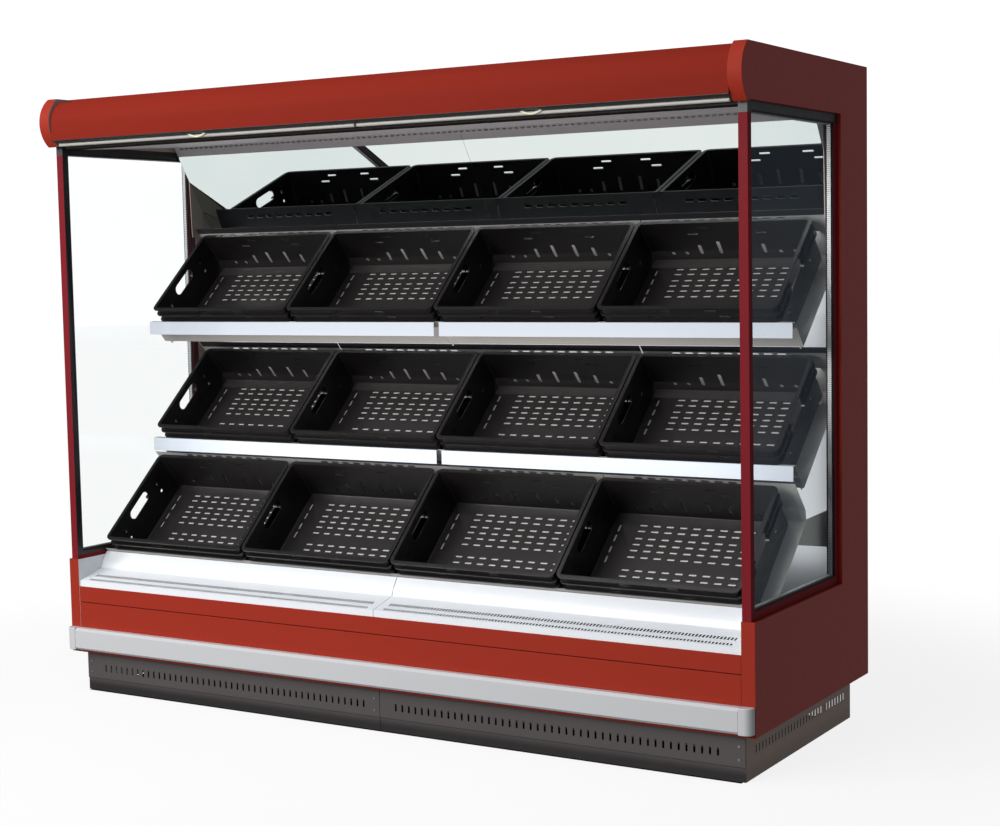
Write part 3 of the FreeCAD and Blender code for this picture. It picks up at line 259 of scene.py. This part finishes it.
def plinthPaint(name, main, cloud, foot):
    # coated steel, with painted shade: darker below the crease where it turns towards the floor
    shade = Shade(name)
    split = shade.node("SeparateXYZ", values={0: shade.place()}, out="Z")
    low = shade.node("MapRange", {"interpolation_type": "SMOOTHSTEP"}, {
        "Value": split, "From Min": 0.014, "From Max": 0.052, "To Min": 1.0, "To Max": 0.0})
    broad, fine = shade.noise(3.0, 4.0), shade.noise(45.0, 5.0)
    coatColour = shade.mix(broad * 0.5 + fine * 0.3, linear(main), linear(cloud))
    body = shade.node("BsdfPrincipled", values={
        "Base Color": shade.mix(low * 0.9, coatColour, linear(foot)), "Roughness": 0.40 + (fine - 0.5) * 0.15,
        "Normal": shade.bump(shade.noise(800.0, 2.0), 0.00005)})
    return shade.close(body)


materials = {name: surface(name, **facts) for name, facts in finishes.items()}
# the last colour of each plinth paint is painted shade below the crease
materials["plinthPaint"] = plinthPaint("plinthPaint", "56504F", "464041", "1A1717")
# the plinth sides get a lighter copy of the plinth paint as painted reflection
materials["plinthSideSheenPaint"] = plinthPaint("plinthSideSheenPaint", "A58F80", "8F7A6D", "8A776B")
materials["clearGlass"] = clearGlass()
materials["mirrorGlass"] = mirrorGlass()
materials["blindCloth"] = blindCloth()
materials["spacerMetal"] = spacerMetal()
print("materials made:", len(materials))

# what each kept CAD node is coated with
coatings = {
    "whiteSheet": ["back_panels"],
    "shadedTankShell": ["insulated_tank"],
    "greySheet": ["canopy_channel", "rear_wall"],
    "stoneSheet": ["shelf_brackets", "uprights"],
    "plinthPaint": ["plinth_fronts"],
    "plinthSideSheenPaint": ["plinth_sides"],
    "linerSteel": ["mirror_end_brackets"],
    "blackPlastic": ["fan_rotor_left", "fan_rotor_right"],
    "clearGlass": ["side_glass"],
    "mirrorGlass": ["mirrors"],
    "sealRubber": ["glass_seals"],
    "spacerMetal": ["glass_spacers"],
    "satinAluminium": ["evaporator"],
    "zincSteel": ["base_frame", "levelling_feet", "plinth_rivets", "fan_plate", "fan_motors"],
    "greyPlastic": ["drain_pipe"],
}


def coat(target, materialName):
    target.data.materials.clear()
    target.data.materials.append(materials[materialName])


for materialName, nodes in coatings.items():
    for name in nodes:
        coat(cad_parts[name], materialName)
print("kept nodes coated")


def smoothen(mesh, angle=35):
    for face in mesh.polygons:
        face.use_smooth = True
    mesh.set_sharp_from_angle(angle=math.radians(angle))


def meshObject(bm, name):
    mesh = bpy.data.meshes.new(name)
    bm.to_mesh(mesh)
    bm.free()
    made = bpy.data.objects.new(name, mesh)
    bpy.context.scene.collection.objects.link(made)
    return made


def newPiece(name, bm, materialName, body="cabinet", nodes=()):
    # turn a finished bmesh into a piece that rides on a body and stands for CAD nodes
    piece = meshObject(bm, name)
    smoothen(piece.data)
    coat(piece, materialName)
    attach(piece, body)
    if nodes:
        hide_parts(*nodes)
    return piece


def softenEdges(piece, width, segments=2):
    bevel = piece.modifiers.new("softEdges", "BEVEL")
    bevel.width = width
    bevel.segments = segments
    bevel.limit_method = "ANGLE"
    bevel.angle_limit = math.radians(40)
    bevel.harden_normals = True
    return piece


def copyOf(node):
    # a CAD node's own shape as one merged mesh
    bm = bmesh.new()
    bm.from_mesh(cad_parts[node].data)
    bmesh.ops.remove_doubles(bm, verts=bm.verts, dist=0.00002)
    bmesh.ops.dissolve_limit(bm, angle_limit=math.radians(0.5), verts=bm.verts, edges=bm.edges)
    return bm


def softCopy(name, node, materialName, width, body="cabinet"):
    return softenEdges(newPiece(name, copyOf(node), materialName, body, [node]), width)


def addBox(bm, low, high, corners=0.0, axis=None, segments=3):
    # a box between two corners; the edges along one axis may be rounded
    low, high = Vector(low), Vector(high)
    made = bmesh.ops.create_cube(bm, size=1.0)["verts"]
    bmesh.ops.scale(bm, vec=high - low, verts=made)
    bmesh.ops.translate(bm, vec=(low + high) / 2, verts=made)
    if corners:
        edges = dict.fromkeys(e for v in made for e in v.link_edges)
        along = [e for e in edges if abs((e.verts[0].co - e.verts[1].co).normalized()[axis]) > 0.9]
        bmesh.ops.bevel(bm, geom=along, offset=corners, segments=segments, profile=0.5,
                        affect="EDGES", material=-1, offset_type="OFFSET")
    return made


def turn(bm, angle, axis):
    bmesh.ops.rotate(bm, cent=(0, 0, 0), matrix=Matrix.Rotation(angle, 3, axis), verts=bm.verts)


def cutAway(piece, cutters):
    # take a bmesh of closed cutters out of a piece
    tool = meshObject(cutters, "cutters")
    hole = piece.modifiers.new("holes", "BOOLEAN")
    hole.operation = "DIFFERENCE"
    hole.solver = "EXACT"
    hole.object = tool
    bpy.context.view_layer.update()
    done = bpy.data.meshes.new_from_object(piece.evaluated_get(bpy.context.evaluated_depsgraph_get()))
    piece.modifiers.remove(hole)
    spent = (piece.data, tool.data)
    piece.data = done
    bpy.data.objects.remove(tool)
    for mesh in spent:
        bpy.data.meshes.remove(mesh)
    smoothen(piece.data)
    return piece


# crates
crate = dict(
    length=0.600, width=0.400, height=0.160, wall=0.003, floor=0.004, reach=0.010,
    skirt=0.058, rib=0.004, cornerRadius=0.022, footRadius=0.006, tilt=42.3,
    webPitch=0.075, webThickness=0.0025, webInset=0.001, webDrop=0.002, endWebs=(0.035, 0.100, 0.280, 0.365),
    slotRound=0.42, cutReach=0.010, wallReach=0.012, endReach=0.020,
    floorColumns=9, floorPitch=0.0453, floorSlot=(0.028, 0.0075),
    floorRows=(0.142, 0.166, 0.217, 0.243, 0.267, 0.291, 0.320, 0.343),
    sideLine=0.039, sideRows=(0.203, 0.242, 0.287, 0.327), sideSlot=(0.008, 0.028),
    handHole=dict(middle=0.190, drop=0.041, length=0.116, height=0.038, round=0.49),
    smallHoles=dict(along=(0.082, 0.305), drops=(0.054, 0.092), size=0.012, round=0.45),
    wallSlots=dict(across=(0.041, 0.109), tops=(0.080, 0.094), low=0.134, width=0.013),
    wallHoles=dict(across=(0.161, 0.209), drop=0.128, size=0.014),
    rimSlots=dict(across=(0.078, 0.116), drops=(0.021, 0.045), size=(0.040, 0.008)),
)


def around(bm, middle, size, corners, axis, segments):
    # a box by its middle and its size, with the edges along one axis rounded
    low = [place - full / 2 for place, full in zip(middle, size)]
    high = [place + full / 2 for place, full in zip(middle, size)]
    addBox(bm, low, high, corners, axis, segments)


def crateCutters():
    c = crate
    bm = bmesh.new()
    middle, bottom = c["length"] / 2, -c["height"]
    bend, floorCut, wallCut = c["slotRound"], 2 * c["cutReach"], 2 * c["wallReach"]
    long, short = c["floorSlot"]
    for column in range(c["floorColumns"]):
        x = middle + (column - (c["floorColumns"] - 1) / 2) * c["floorPitch"]
        for y in c["floorRows"]:
            around(bm, (x, y, bottom), (long, short, floorCut), short * bend, 2, 2)
    wide, deep = c["sideSlot"]
    for x in (c["sideLine"], c["length"] - c["sideLine"]):
        for y in c["sideRows"]:
            around(bm, (x, y, bottom), (wide, deep, floorCut), wide * bend, 2, 2)
    slots, holes, rims, small = c["wallSlots"], c["wallHoles"], c["rimSlots"], c["smallHoles"]
    size, (rimLength, rimHeight) = holes["size"], rims["size"]
    for y in (c["reach"], c["width"] - c["reach"]):
        for side in (-1, 1):
            for across, top in zip(slots["across"], slots["tops"]):
                around(bm, (middle + side * across, y, -(slots["low"] + top) / 2),
                       (slots["width"], wallCut, slots["low"] - top), slots["width"] * bend, 1, 3)
            for across in holes["across"]:
                around(bm, (middle + side * across, y, -holes["drop"]), (size, wallCut, size),
                       size * bend, 1, 3)
            for across, drop in zip(rims["across"], rims["drops"]):
                around(bm, (middle + side * across, y, -drop), (rimLength, 2 * c["endReach"], rimHeight),
                       rimHeight * bend, 1, 2)
    size = small["size"]
    for y in small["along"]:
        for drop in small["drops"]:
            around(bm, (middle, y, -drop), (c["length"] + 2 * c["endReach"], size, size),
                   size * small["round"], 0, 3)
    return bm


def handCutter():
    hand = crate["handHole"]
    bm = bmesh.new()
    around(bm, (crate["length"] / 2, hand["middle"], -hand["drop"]),
           (crate["length"] + 2 * crate["endReach"], hand["length"], hand["height"]),
           hand["height"] * hand["round"], 0, 6)
    return bm


def crateShell():
    c = crate
    bm = bmesh.new()
    reach = c["reach"]
    addBox(bm, (reach, reach, -c["height"]), (c["length"] - reach, c["width"] - reach, 0),
           c["cornerRadius"] - reach, 2, 4)
    lid = [f for f in bm.faces if f.normal.z > 0.9]
    bmesh.ops.delete(bm, geom=lid, context="FACES_ONLY")
    base = [e for f in bm.faces if f.normal.z < -0.9 for e in f.edges]
    bmesh.ops.bevel(bm, geom=base, offset=c["footRadius"], segments=2, profile=0.5, affect="EDGES",
                    material=-1, offset_type="OFFSET")
    bmesh.ops.solidify(bm, geom=bm.faces[:], thickness=c["wall"])
    bmesh.ops.recalc_face_normals(bm, faces=bm.faces[:])
    return bm


def rimRing(bm, top, thickness):
    # one flange round the crate, with the wall's outer face as its inner edge
    c = crate
    addBox(bm, (0, 0, top - thickness), (c["length"], c["width"], top), c["cornerRadius"], 2, 4)
    level = [f for f in bm.faces if abs(f.normal.z) > 0.9
             and top - thickness - 1e-6 < f.calc_center_median().z < top + 1e-6]
    bmesh.ops.inset_region(bm, faces=level, thickness=c["reach"] + c["wall"] / 2, use_even_offset=True)
    inner = [f for f in level if f.is_valid]
    edges = dict.fromkeys(e for f in inner for e in f.edges)
    bmesh.ops.delete(bm, geom=inner, context="FACES_ONLY")
    bmesh.ops.bridge_loops(bm, edges=[e for e in edges if e.is_valid])


def crateRim():
    c = crate
    bm = bmesh.new()
    for top in (0.0, -(c["skirt"] - c["rib"]) / 2, -c["skirt"] + c["rib"]):
        rimRing(bm, top, c["rib"])
    half, inset = c["webThickness"] / 2, c["webInset"]
    low, high = c["webDrop"] - c["skirt"], -c["webDrop"]
    inner = c["reach"] + c["wall"] / 2
    for index in range(1, int(c["length"] / c["webPitch"])):
        x = index * c["webPitch"]
        for near, far in ((inset, inner), (c["width"] - inner, c["width"] - inset)):
            addBox(bm, (x - half, near, low), (x + half, far, high))
    for y in c["endWebs"]:
        for near, far in ((inset, inner), (c["length"] - inner, c["length"] - inset)):
            addBox(bm, (near, y - half, low), (far, y + half, high))
    bmesh.ops.recalc_face_normals(bm, faces=bm.faces[:])
    return bm


def rimCorner(node):
    # the rim's front corner at the crate's left is the node's most forward place
    low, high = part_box(node)
    return Vector((low.x, low.y, high.z - crate["width"] * math.sin(math.radians(crate["tilt"]))))


def buildCrates():
    shell = cutAway(meshObject(crateShell(), "crateShell"), crateCutters())
    shell = cutAway(shell, handCutter())
    rim = cutAway(meshObject(crateRim(), "crateRim"), handCutter())
    pattern = bmesh.new()
    pattern.from_mesh(shell.data)
    pattern.from_mesh(rim.data)
    bmesh.ops.remove_doubles(pattern, verts=pattern.verts, dist=0.00001)
    for part in (shell, rim):
        mesh = part.data
        bpy.data.objects.remove(part)
        bpy.data.meshes.remove(mesh)
    lean = Matrix.Rotation(math.radians(crate["tilt"]), 4, "X")
    for level in ("lower", "middle", "upper"):
        for column in range(1, 5):
            node = f"crate_{level}_{column}"
            corner = rimCorner(node)
            place = Matrix.Translation(corner) @ lean
            bm = pattern.copy()
            bm.transform(place)
            piece = newPiece(f"produceCrate{level.title()}{column}", bm, "cratePlastic", node, [node])
            piece.data.materials.append(materials["crateFloor"])
            back, floorTop = place.inverted(), crate["wall"] + crate["floor"] - crate["height"]
            for face in piece.data.polygons:
                face.material_index = 1 if (back @ face.center).z < floorTop else 0
    pattern.free()


buildCrates()
print("crates made")

# red casings and other sheet parts kept in their CAD shape with softened edges
casings = {
    "canopyFascia": ("canopy_fascia", "shadedFasciaPaint", 0.0005),
    "frontPanelUpper": ("front_panel_upper", "redPaint", 0.0012),
    "frontPanelLower": ("front_panel_lower", "redPaint", 0.0012),
    "bumperRail": ("bumper_rail", "bumperPlastic", 0.0008),
    "bumperCaps": ("bumper_caps", "bumperPlastic", 0.0030),
    "priceRails": ("price_rails", "railSheet", 0.0005),
    "deckEdges": ("deck_fronts", "whiteSheet", 0.0004),
    "canopyTrim": ("canopy_trim", "blackPlastic", 0.0005),
}
for name, (node, materialName, width) in casings.items():
    softCopy(name, node, materialName, width)
print("casings made")


def buildRoof():
    # grey panel with its front edge in the fascia's darker red, which holds painted shade
    piece = newPiece("roofPanel", copyOf("roof_panel"), "greySheet", "cabinet", ["roof_panel"])
    piece.data.materials.append(materials["shadedFasciaPaint"])
    for face in piece.data.polygons:
        face.material_index = 1 if face.normal.y < -0.9 else 0


buildRoof()
print("roof made")


# end panels: red outside, with painted light: the outer sides get a lighter, shinier red than the edges;
# steel liner inside, white beside the deck
endPanel = dict(edge=0.0016, whiteBelow=0.464)


def divide(bm, place, facing=(0, 0, 1)):
    # split the faces that a plane crosses, so that each side can have its own material
    bmesh.ops.bisect_plane(bm, geom=bm.verts[:] + bm.edges[:] + bm.faces[:], plane_co=place, plane_no=facing)


def buildEndPanels():
    for side, sign in (("left", -1), ("right", 1)):
        bm = copyOf(f"end_panel_{side}")
        divide(bm, (0, 0, endPanel["whiteBelow"]))
        piece = newPiece(f"endPanel{side.title()}", bm, "litSideRedPaint", "cabinet", [f"end_panel_{side}"])
        for extra in ("linerSteel", "whiteSheet", "redPaint"):
            piece.data.materials.append(materials[extra])
        for face in piece.data.polygons:
            inside = face.normal.x * sign < -0.9 and abs(face.center.x) < innerHalf + 0.001
            if inside:
                face.material_index = 2 if face.center.z < endPanel["whiteBelow"] else 1
            elif abs(face.normal.x) < 0.7:
                face.material_index = 3
        softenEdges(piece, endPanel["edge"])


buildEndPanels()
print("end panels made")

# window frames: red darkened as painted shade all round, with a black rail at the top and black inner faces
windowFrame = dict(railHeight=0.027, cornerDrop=0.006, redFoot=0.014, edge=0.0008)


def buildWindowFrames():
    for side, sign in (("left", -1), ("right", 1)):
        node = f"glazing_frame_{side}"
        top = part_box(node)[1].z
        bm = copyOf(node)
        level = top - windowFrame["railHeight"] - windowFrame["cornerDrop"]
        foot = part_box(node)[0].z + windowFrame["redFoot"]
        divide(bm, (0, 0, level))
        divide(bm, (0, 0, foot))
        piece = newPiece(f"windowFrame{side.title()}", bm, "shadedRedPaint", "cabinet", [node])
        piece.data.materials.append(materials["blackPlastic"])
        for face in piece.data.polygons:
            inner = face.normal.x * sign < -0.9 and face.center.z > foot
            face.material_index = 1 if face.center.z > level or inner else 0
        softenEdges(piece, windowFrame["edge"])


buildWindowFrames()
print("window frames made")

# crate trays: bright steel with painted front lips, and painted shade on the rear wall above the crates' rims
tray = dict(lipDepth=0.0080, stripDrop=0.012)


def buildTrays():
    tilt = math.radians(crate["tilt"])
    for level in ("lower", "middle", "upper"):
        corner = rimCorner(f"crate_{level}_1")
        bm = copyOf(f"crate_tray_{level}")
        # painted shade: the rear wall is coloured dark where it shows above the crates' rims
        outward = Vector((0, -math.sin(tilt), math.cos(tilt)))
        rearward = Vector((0, math.cos(tilt), math.sin(tilt)))
        divide(bm, corner - outward * tray["stripDrop"], outward)
        piece = newPiece(f"crateTray{level.title()}", bm, "traySteel", "cabinet", [f"crate_tray_{level}"])
        piece.data.materials.append(materials["lipSheet"])
        piece.data.materials.append(materials["trayBackShade"])
        for face in piece.data.polygons:
            reach = face.center - corner
            along = reach.y * math.cos(tilt) + reach.z * math.sin(tilt)
            shows = reach.dot(outward) > -tray["stripDrop"] or face.normal.dot(rearward) > 0.9
            if along < tray["lipDepth"]:
                face.material_index = 1
            elif along > crate["width"] and shows:
                face.material_index = 2


buildTrays()
print("trays made")

# air-return grilles
grille = dict(rows=((0.012, 0.026), (0.043, 0.062)), slotWidth=0.0062, pitch=0.011, margin=0.030,
              heights=(0.380, 0.430))


def buildGrilles():
    low, high = grille["heights"]
    bm = bmesh.new()
    for side in (-1, 1):
        start, end = grille["margin"], innerHalf - grille["margin"]
        count = int((end - start) / grille["pitch"])
        for index in range(count):
            x = side * (start + (index + 0.5) * grille["pitch"])
            for near, far in grille["rows"]:
                addBox(bm, (x - grille["slotWidth"] / 2, frontFace + near, low),
                       (x + grille["slotWidth"] / 2, frontFace + far, high))
    piece = newPiece("returnGrilles", copyOf("return_grilles"), "whiteSheet", "cabinet", ["return_grilles"])
    cutAway(piece, bm)


buildGrilles()
print("grilles made")

# ceiling panels and mirror carriers with their slot rows
ceiling = dict(slotDepth=0.290, pitch=0.024, slot=(0.014, 0.004), drops=(0.20, 0.10))
carrier = dict(pitch=0.0235, slot=(0.015, 0.0055), below=0.004, through=0.003, margin=0.02, lean=57.3,
               topDepth=0.567, topDrop=0.143)


def buildCeiling():
    bm = bmesh.new()
    wide, deep = ceiling["slot"]
    low, high = (topHeight - drop for drop in ceiling["drops"])
    y = frontFace + ceiling["slotDepth"]
    for index in range(int(2 * innerHalf / ceiling["pitch"]) - 2):
        x = -innerHalf + (index + 1.5) * ceiling["pitch"]
        addBox(bm, (x - wide / 2, y - deep / 2, low), (x + wide / 2, y + deep / 2, high))
    piece = newPiece("ceilingPanels", copyOf("ceiling_panels"), "greySheet", "cabinet", ["ceiling_panels"])
    cutAway(piece, bm)


def buildCarriers():
    bm = bmesh.new()
    wide, deep = carrier["slot"]
    down, through = carrier["below"], carrier["through"]
    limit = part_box("mirror_carriers")[1].x - carrier["margin"]
    place = Matrix.Translation((0, frontFace + carrier["topDepth"], topHeight - carrier["topDrop"]))
    lean = Matrix.Rotation(math.radians(-carrier["lean"]), 4, "X")
    for index in range(int(2 * limit / carrier["pitch"])):
        x = -limit + (index + 0.5) * carrier["pitch"]
        made = addBox(bm, (x - wide / 2, down - deep / 2, -through), (x + wide / 2, down + deep / 2, through))
        bmesh.ops.transform(bm, matrix=place @ lean, verts=made)
    piece = newPiece("mirrorCarriers", copyOf("mirror_carriers"), "greySheet", "cabinet", ["mirror_carriers"])
    cutAway(piece, bm)


buildCeiling()
buildCarriers()
print("ceiling and mirror carriers made")

# honeycomb air outlet
comb = dict(cell=0.010, wall=0.0008, rim=0.003)


def buildHoneycomb():
    low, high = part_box("air_honeycomb")
    bm = bmesh.new()
    pitch, rim = comb["cell"], comb["rim"]
    rowStep = pitch * math.sin(math.radians(60))
    rows = int((high.y - low.y - 2 * rim) / rowStep)
    columns = int((high.x - low.x - 2 * rim) / pitch)
    radius = (pitch - comb["wall"]) / math.sqrt(3)
    ring = bmesh.new()
    bmesh.ops.create_circle(ring, cap_ends=False, radius=radius, segments=6)
    turn(ring, math.radians(30), "Z")
    made = bmesh.ops.extrude_edge_only(ring, edges=ring.edges[:])["geom"]
    bmesh.ops.translate(ring, vec=(0, 0, high.z - low.z),
                        verts=[v for v in made if isinstance(v, bmesh.types.BMVert)])
    bmesh.ops.solidify(ring, geom=ring.faces[:], thickness=-comb["wall"] / 2)
    bmesh.ops.recalc_face_normals(ring, faces=ring.faces[:])
    cell = bpy.data.meshes.new("combCell")
    ring.to_mesh(cell)
    ring.free()
    for row in range(rows):
        for column in range(columns - 1):
            x = low.x + rim + pitch * (column + 0.5 + (row % 2) * 0.5)
            y = low.y + rim + rowStep * (row + 0.5)
            place = Matrix.Translation((x, y, low.z))
            cell.transform(place)
            bm.from_mesh(cell)
            cell.transform(place.inverted())
    bpy.data.meshes.remove(cell)
    for near, far in ((low.y, low.y + rim), (high.y - rim, high.y)):
        addBox(bm, (low.x, near, low.z), (high.x, far, high.z))
    for near, far in ((low.x, low.x + rim), (high.x - rim, high.x)):
        addBox(bm, (near, low.y + rim, low.z), (far, high.y - rim, high.z))
    newPiece("airHoneycomb", bm, "honeycombPlastic", "cabinet", ["air_honeycomb"])


buildHoneycomb()
print("honeycomb made")

# night blinds
blind = dict(
    barHeight=0.011, barReach=(0.025, 0.010), barRound=0.003,
    lipReach=(0.0255, 0.024), lipHeights=(0.004, 0.006),
    clothColumns=24, clothRows=14, gripRadius=0.0035, gripHalf=0.042, gripSag=0.016, gripReach=0.029,
    gripRise=0.003, gripSteps=20, turns=7, turnWidth=0.0018, turnRise=0.0006, rollInset=0.012, rollPin=0.005,
)


def buildBlind(side):
    sign = -1 if side == "left" else 1
    title = side.title()
    barLow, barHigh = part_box(f"blind_bar_{side}")
    barFloor = barHigh.z - blind["barHeight"]
    bm = bmesh.new()
    near, far = blind["barReach"]
    addBox(bm, (barLow.x, frontFace - near, barFloor), (barHigh.x, frontFace - far, barHigh.z),
           blind["barRound"], 0, 3)
    near, far = blind["lipReach"]
    bottom, top = blind["lipHeights"]
    addBox(bm, (barLow.x, frontFace - near, barFloor + bottom), (barHigh.x, frontFace - far, barFloor + top))
    newPiece(f"blindBar{title}", bm, "satinAluminium", f"blind_bar_{side}", [f"blind_bar_{side}"])
    buildGrip(title, side, sign * innerHalf / 2, barFloor)
    low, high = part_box(f"blind_curtain_{side}")
    strip = bmesh.new()
    bmesh.ops.create_grid(strip, x_segments=blind["clothColumns"], y_segments=blind["clothRows"], size=0.5)
    bmesh.ops.scale(strip, vec=(high.x - low.x, high.z - low.z, 1), verts=strip.verts)
    turn(strip, math.radians(90), "X")
    bmesh.ops.translate(strip, vec=(low + high) / 2, verts=strip.verts)
    bmesh.ops.solidify(strip, geom=strip.faces[:], thickness=high.y - low.y)
    piece = meshObject(strip, f"blindCurtain{title}")
    smoothen(piece.data)
    coat(piece, "blindCloth")
    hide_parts(f"blind_curtain_{side}")
    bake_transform(piece)


def buildGrip(title, side, middle, barFloor):
    # a bow that hangs under the bar
    bm = bmesh.new()
    bmesh.ops.create_circle(bm, cap_ends=False, radius=blind["gripRadius"], segments=12)
    half, sag = blind["gripHalf"], blind["gripSag"]
    radius = (half * half + sag * sag) / (2 * sag)
    sweep = 2 * math.asin(half / radius)
    turn(bm, math.radians(90), "Y")
    bmesh.ops.translate(bm, vec=(0, 0, -radius), verts=bm.verts)
    turn(bm, -sweep / 2, "Y")
    bmesh.ops.spin(bm, geom=bm.edges[:], cent=(0, 0, 0), axis=(0, 1, 0), angle=sweep,
                   steps=blind["gripSteps"], use_duplicate=False)
    bmesh.ops.holes_fill(bm, edges=[e for e in bm.edges if e.is_boundary])
    bmesh.ops.recalc_face_normals(bm, faces=bm.faces[:])
    place = (middle, frontFace - blind["gripReach"], barFloor + radius + blind["gripRise"])
    bmesh.ops.translate(bm, vec=place, verts=bm.verts)
    newPiece(f"blindGrip{title}", bm, "gripPlastic", f"blind_bar_{side}")


def rod(radius, length, segments):
    bm = bmesh.new()
    bmesh.ops.create_cone(bm, cap_ends=True, segments=segments, radius1=radius, radius2=radius, depth=length)
    return bm


def layAcross(bm, centre):
    # turn a rod from the vertical to lie across the cabinet
    turn(bm, math.radians(90), "Y")
    bmesh.ops.translate(bm, vec=centre, verts=bm.verts)
    return bm


def buildRoll(side):
    low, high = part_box(f"blind_roller_{side}")
    centre, length = (low + high) / 2, high.x - low.x
    bm = rod((high.z - low.z) / 2, length - 2 * blind["rollInset"], 40)
    ends = [f for f in bm.faces if abs(f.normal.z) > 0.9]
    for layer in range(blind["turns"]):
        bmesh.ops.inset_individual(bm, faces=ends, thickness=blind["turnWidth"],
                                   depth=blind["turnRise"] if layer % 2 else -blind["turnRise"])
    newPiece(f"blindRoll{side.title()}", layAcross(bm, centre), "blindCloth",
             f"blind_roller_{side}", [f"blind_roller_{side}"])
    axle = layAcross(rod(blind["rollPin"], length, 20), centre)
    newPiece(f"blindAxle{side.title()}", axle, "satinAluminium", f"blind_roller_{side}")


for side in ("left", "right"):
    buildBlind(side)
    buildRoll(side)
print("blinds made")

# stage, light and camera
studio = dict(
    floorSize=60.0, floorGlow=(0.85, 1.0), glowReach=(1.6, 3.0), covered=(1.24, 0.40),
    backdrop=1.07, world=0.20, worldTint=(0.93, 0.97, 1.0, 1.0),
    lights=(
        # place, aimed at, width, height, watts, whether it shows as a highlight
        ((-4.2, -5.6, 4.0), (0.0, -0.2, 1.0), 2.8, 2.6, 290.0, True),
        ((-1.2, -7.2, 3.0), (0.0, -0.2, 1.0), 3.2, 3.0, 290.0, True),
        ((-0.6, -1.5, 4.8), (0.0, 0.0, 0.6), 3.0, 1.6, 40.0, True),
        # light thrown back up by the white deck, and daylight on the panels behind the shelves
        ((0.0, frontFace + 0.16, 0.72), (0.0, frontFace + 0.2, 2.0), 2.3, 0.1, 8.0, False),
        ((0.0, backFace - 0.05, 1.15), (0.0, backFace, 1.15), 2.4, 1.3, 7.0, False),
    ),
)
camera = dict(place=(3.2650, -4.5578, 1.4715), yaw=31.4, pitch=-4.8, roll=-1.1, lens=65.13, sensor=36.0)


def buildStudio():
    # pale floor that brightens to the backdrop's white away from the cabinet
    shade = Shade("studioFloor")
    faint = shade.noise(0.8, 2.0)
    body = shade.node("BsdfDiffuse", values={
        "Color": shade.mix(faint * 0.3, linear("F8F8F8"), linear("F1F1F1"))})
    glow = shade.node("Emission", values={"Color": (1, 1, 1, 1), "Strength": 1.0})
    away = shade.node("VectorMath", {"operation": "LENGTH"}, {0: shade.place()}, out="Value")
    near, far = studio["glowReach"]
    low, high = studio["floorGlow"]
    share = shade.node("MapRange", {"interpolation_type": "SMOOTHSTEP"}, {
        "Value": away, "From Min": near, "From Max": far, "To Min": low, "To Max": high})
    lit = shade.node("MixShader", values={0: share, 1: body, 2: glow})
    # painted shade: the floor is coloured dark where the cabinet stands over it
    dark = shade.node("BsdfDiffuse", values={"Color": linear("1C1A1A")})
    under = 1.0
    for axis, reach in zip("XY", studio["covered"]):
        spread = shade.node("SeparateXYZ", values={0: shade.place()}, out=axis)
        under = (spread * spread < reach * reach) * under
    surfaceMix = shade.node("MixShader", values={0: under, 1: lit, 2: dark})
    bm = bmesh.new()
    bmesh.ops.create_grid(bm, x_segments=1, y_segments=1, size=studio["floorSize"] / 2)
    floor = meshObject(bm, "studioFloor")
    floor.data.materials.append(shade.close(surfaceMix))
    # the floor's glow is for the eye and the mirror, and doesn't light the cabinet from below
    floor.visible_diffuse = False
    floor.visible_glossy = False
    for index, (place, aim, width, height, watts, shiny) in enumerate(studio["lights"]):
        data = bpy.data.lights.new(f"softbox{index + 1}", "AREA")
        data.shape = "RECTANGLE"
        data.size, data.size_y, data.energy = width, height, watts
        lamp = bpy.data.objects.new(data.name, data)
        lamp.location = place
        lamp.rotation_euler = (Vector(aim) - Vector(place)).to_track_quat("-Z", "Y").to_euler()
        lamp.visible_camera = False
        lamp.visible_glossy = shiny
        bpy.context.scene.collection.objects.link(lamp)
    world = bpy.data.worlds.new("studioWorld")
    world.use_nodes = True
    nodes, links = world.node_tree.nodes, world.node_tree.links
    nodes.clear()
    dim, bright = nodes.new("ShaderNodeBackground"), nodes.new("ShaderNodeBackground")
    dim.inputs["Strength"].default_value = studio["world"]
    dim.inputs["Color"].default_value = studio["worldTint"]
    bright.inputs["Color"].default_value = (1, 1, 1, 1)
    bright.inputs["Strength"].default_value = studio["backdrop"]
    path, mixed = nodes.new("ShaderNodeLightPath"), nodes.new("ShaderNodeMixShader")
    either = nodes.new("ShaderNodeMath")
    either.operation = "MAXIMUM"
    end = nodes.new("ShaderNodeOutputWorld")
    # the backdrop is white where it is seen directly or in a mirror
    links.new(path.outputs["Is Camera Ray"], either.inputs[0])
    links.new(path.outputs["Is Singular Ray"], either.inputs[1])
    links.new(either.outputs[0], mixed.inputs[0])
    links.new(dim.outputs[0], mixed.inputs[1])
    links.new(bright.outputs[0], mixed.inputs[2])
    links.new(mixed.outputs[0], end.inputs["Surface"])
    bpy.context.scene.world = world
    bpy.context.scene.view_settings.view_transform = "Standard"


def buildCamera():
    yaw, pitch, roll = (math.radians(camera[key]) for key in ("yaw", "pitch", "roll"))
    ahead = Vector((-math.sin(yaw) * math.cos(pitch), math.cos(yaw) * math.cos(pitch), math.sin(pitch)))
    right = Vector((math.cos(yaw), math.sin(yaw), 0))
    up = right.cross(ahead)
    rolledRight = math.cos(roll) * right + math.sin(roll) * up
    rolledUp = -math.sin(roll) * right + math.cos(roll) * up
    data = bpy.data.cameras.new("studioCamera")
    data.lens, data.sensor_width = camera["lens"], camera["sensor"]
    eye = bpy.data.objects.new("studioCamera", data)
    axes = Matrix((rolledRight, rolledUp, -ahead)).transposed()
    place = Vector(camera["place"]) + Vector((0, frontFace, 0))
    eye.matrix_world = Matrix.Translation(place) @ axes.to_4x4()
    bpy.context.scene.collection.objects.link(eye)
    bpy.context.scene.camera = eye


buildStudio()
buildCamera()
print("studio ready")
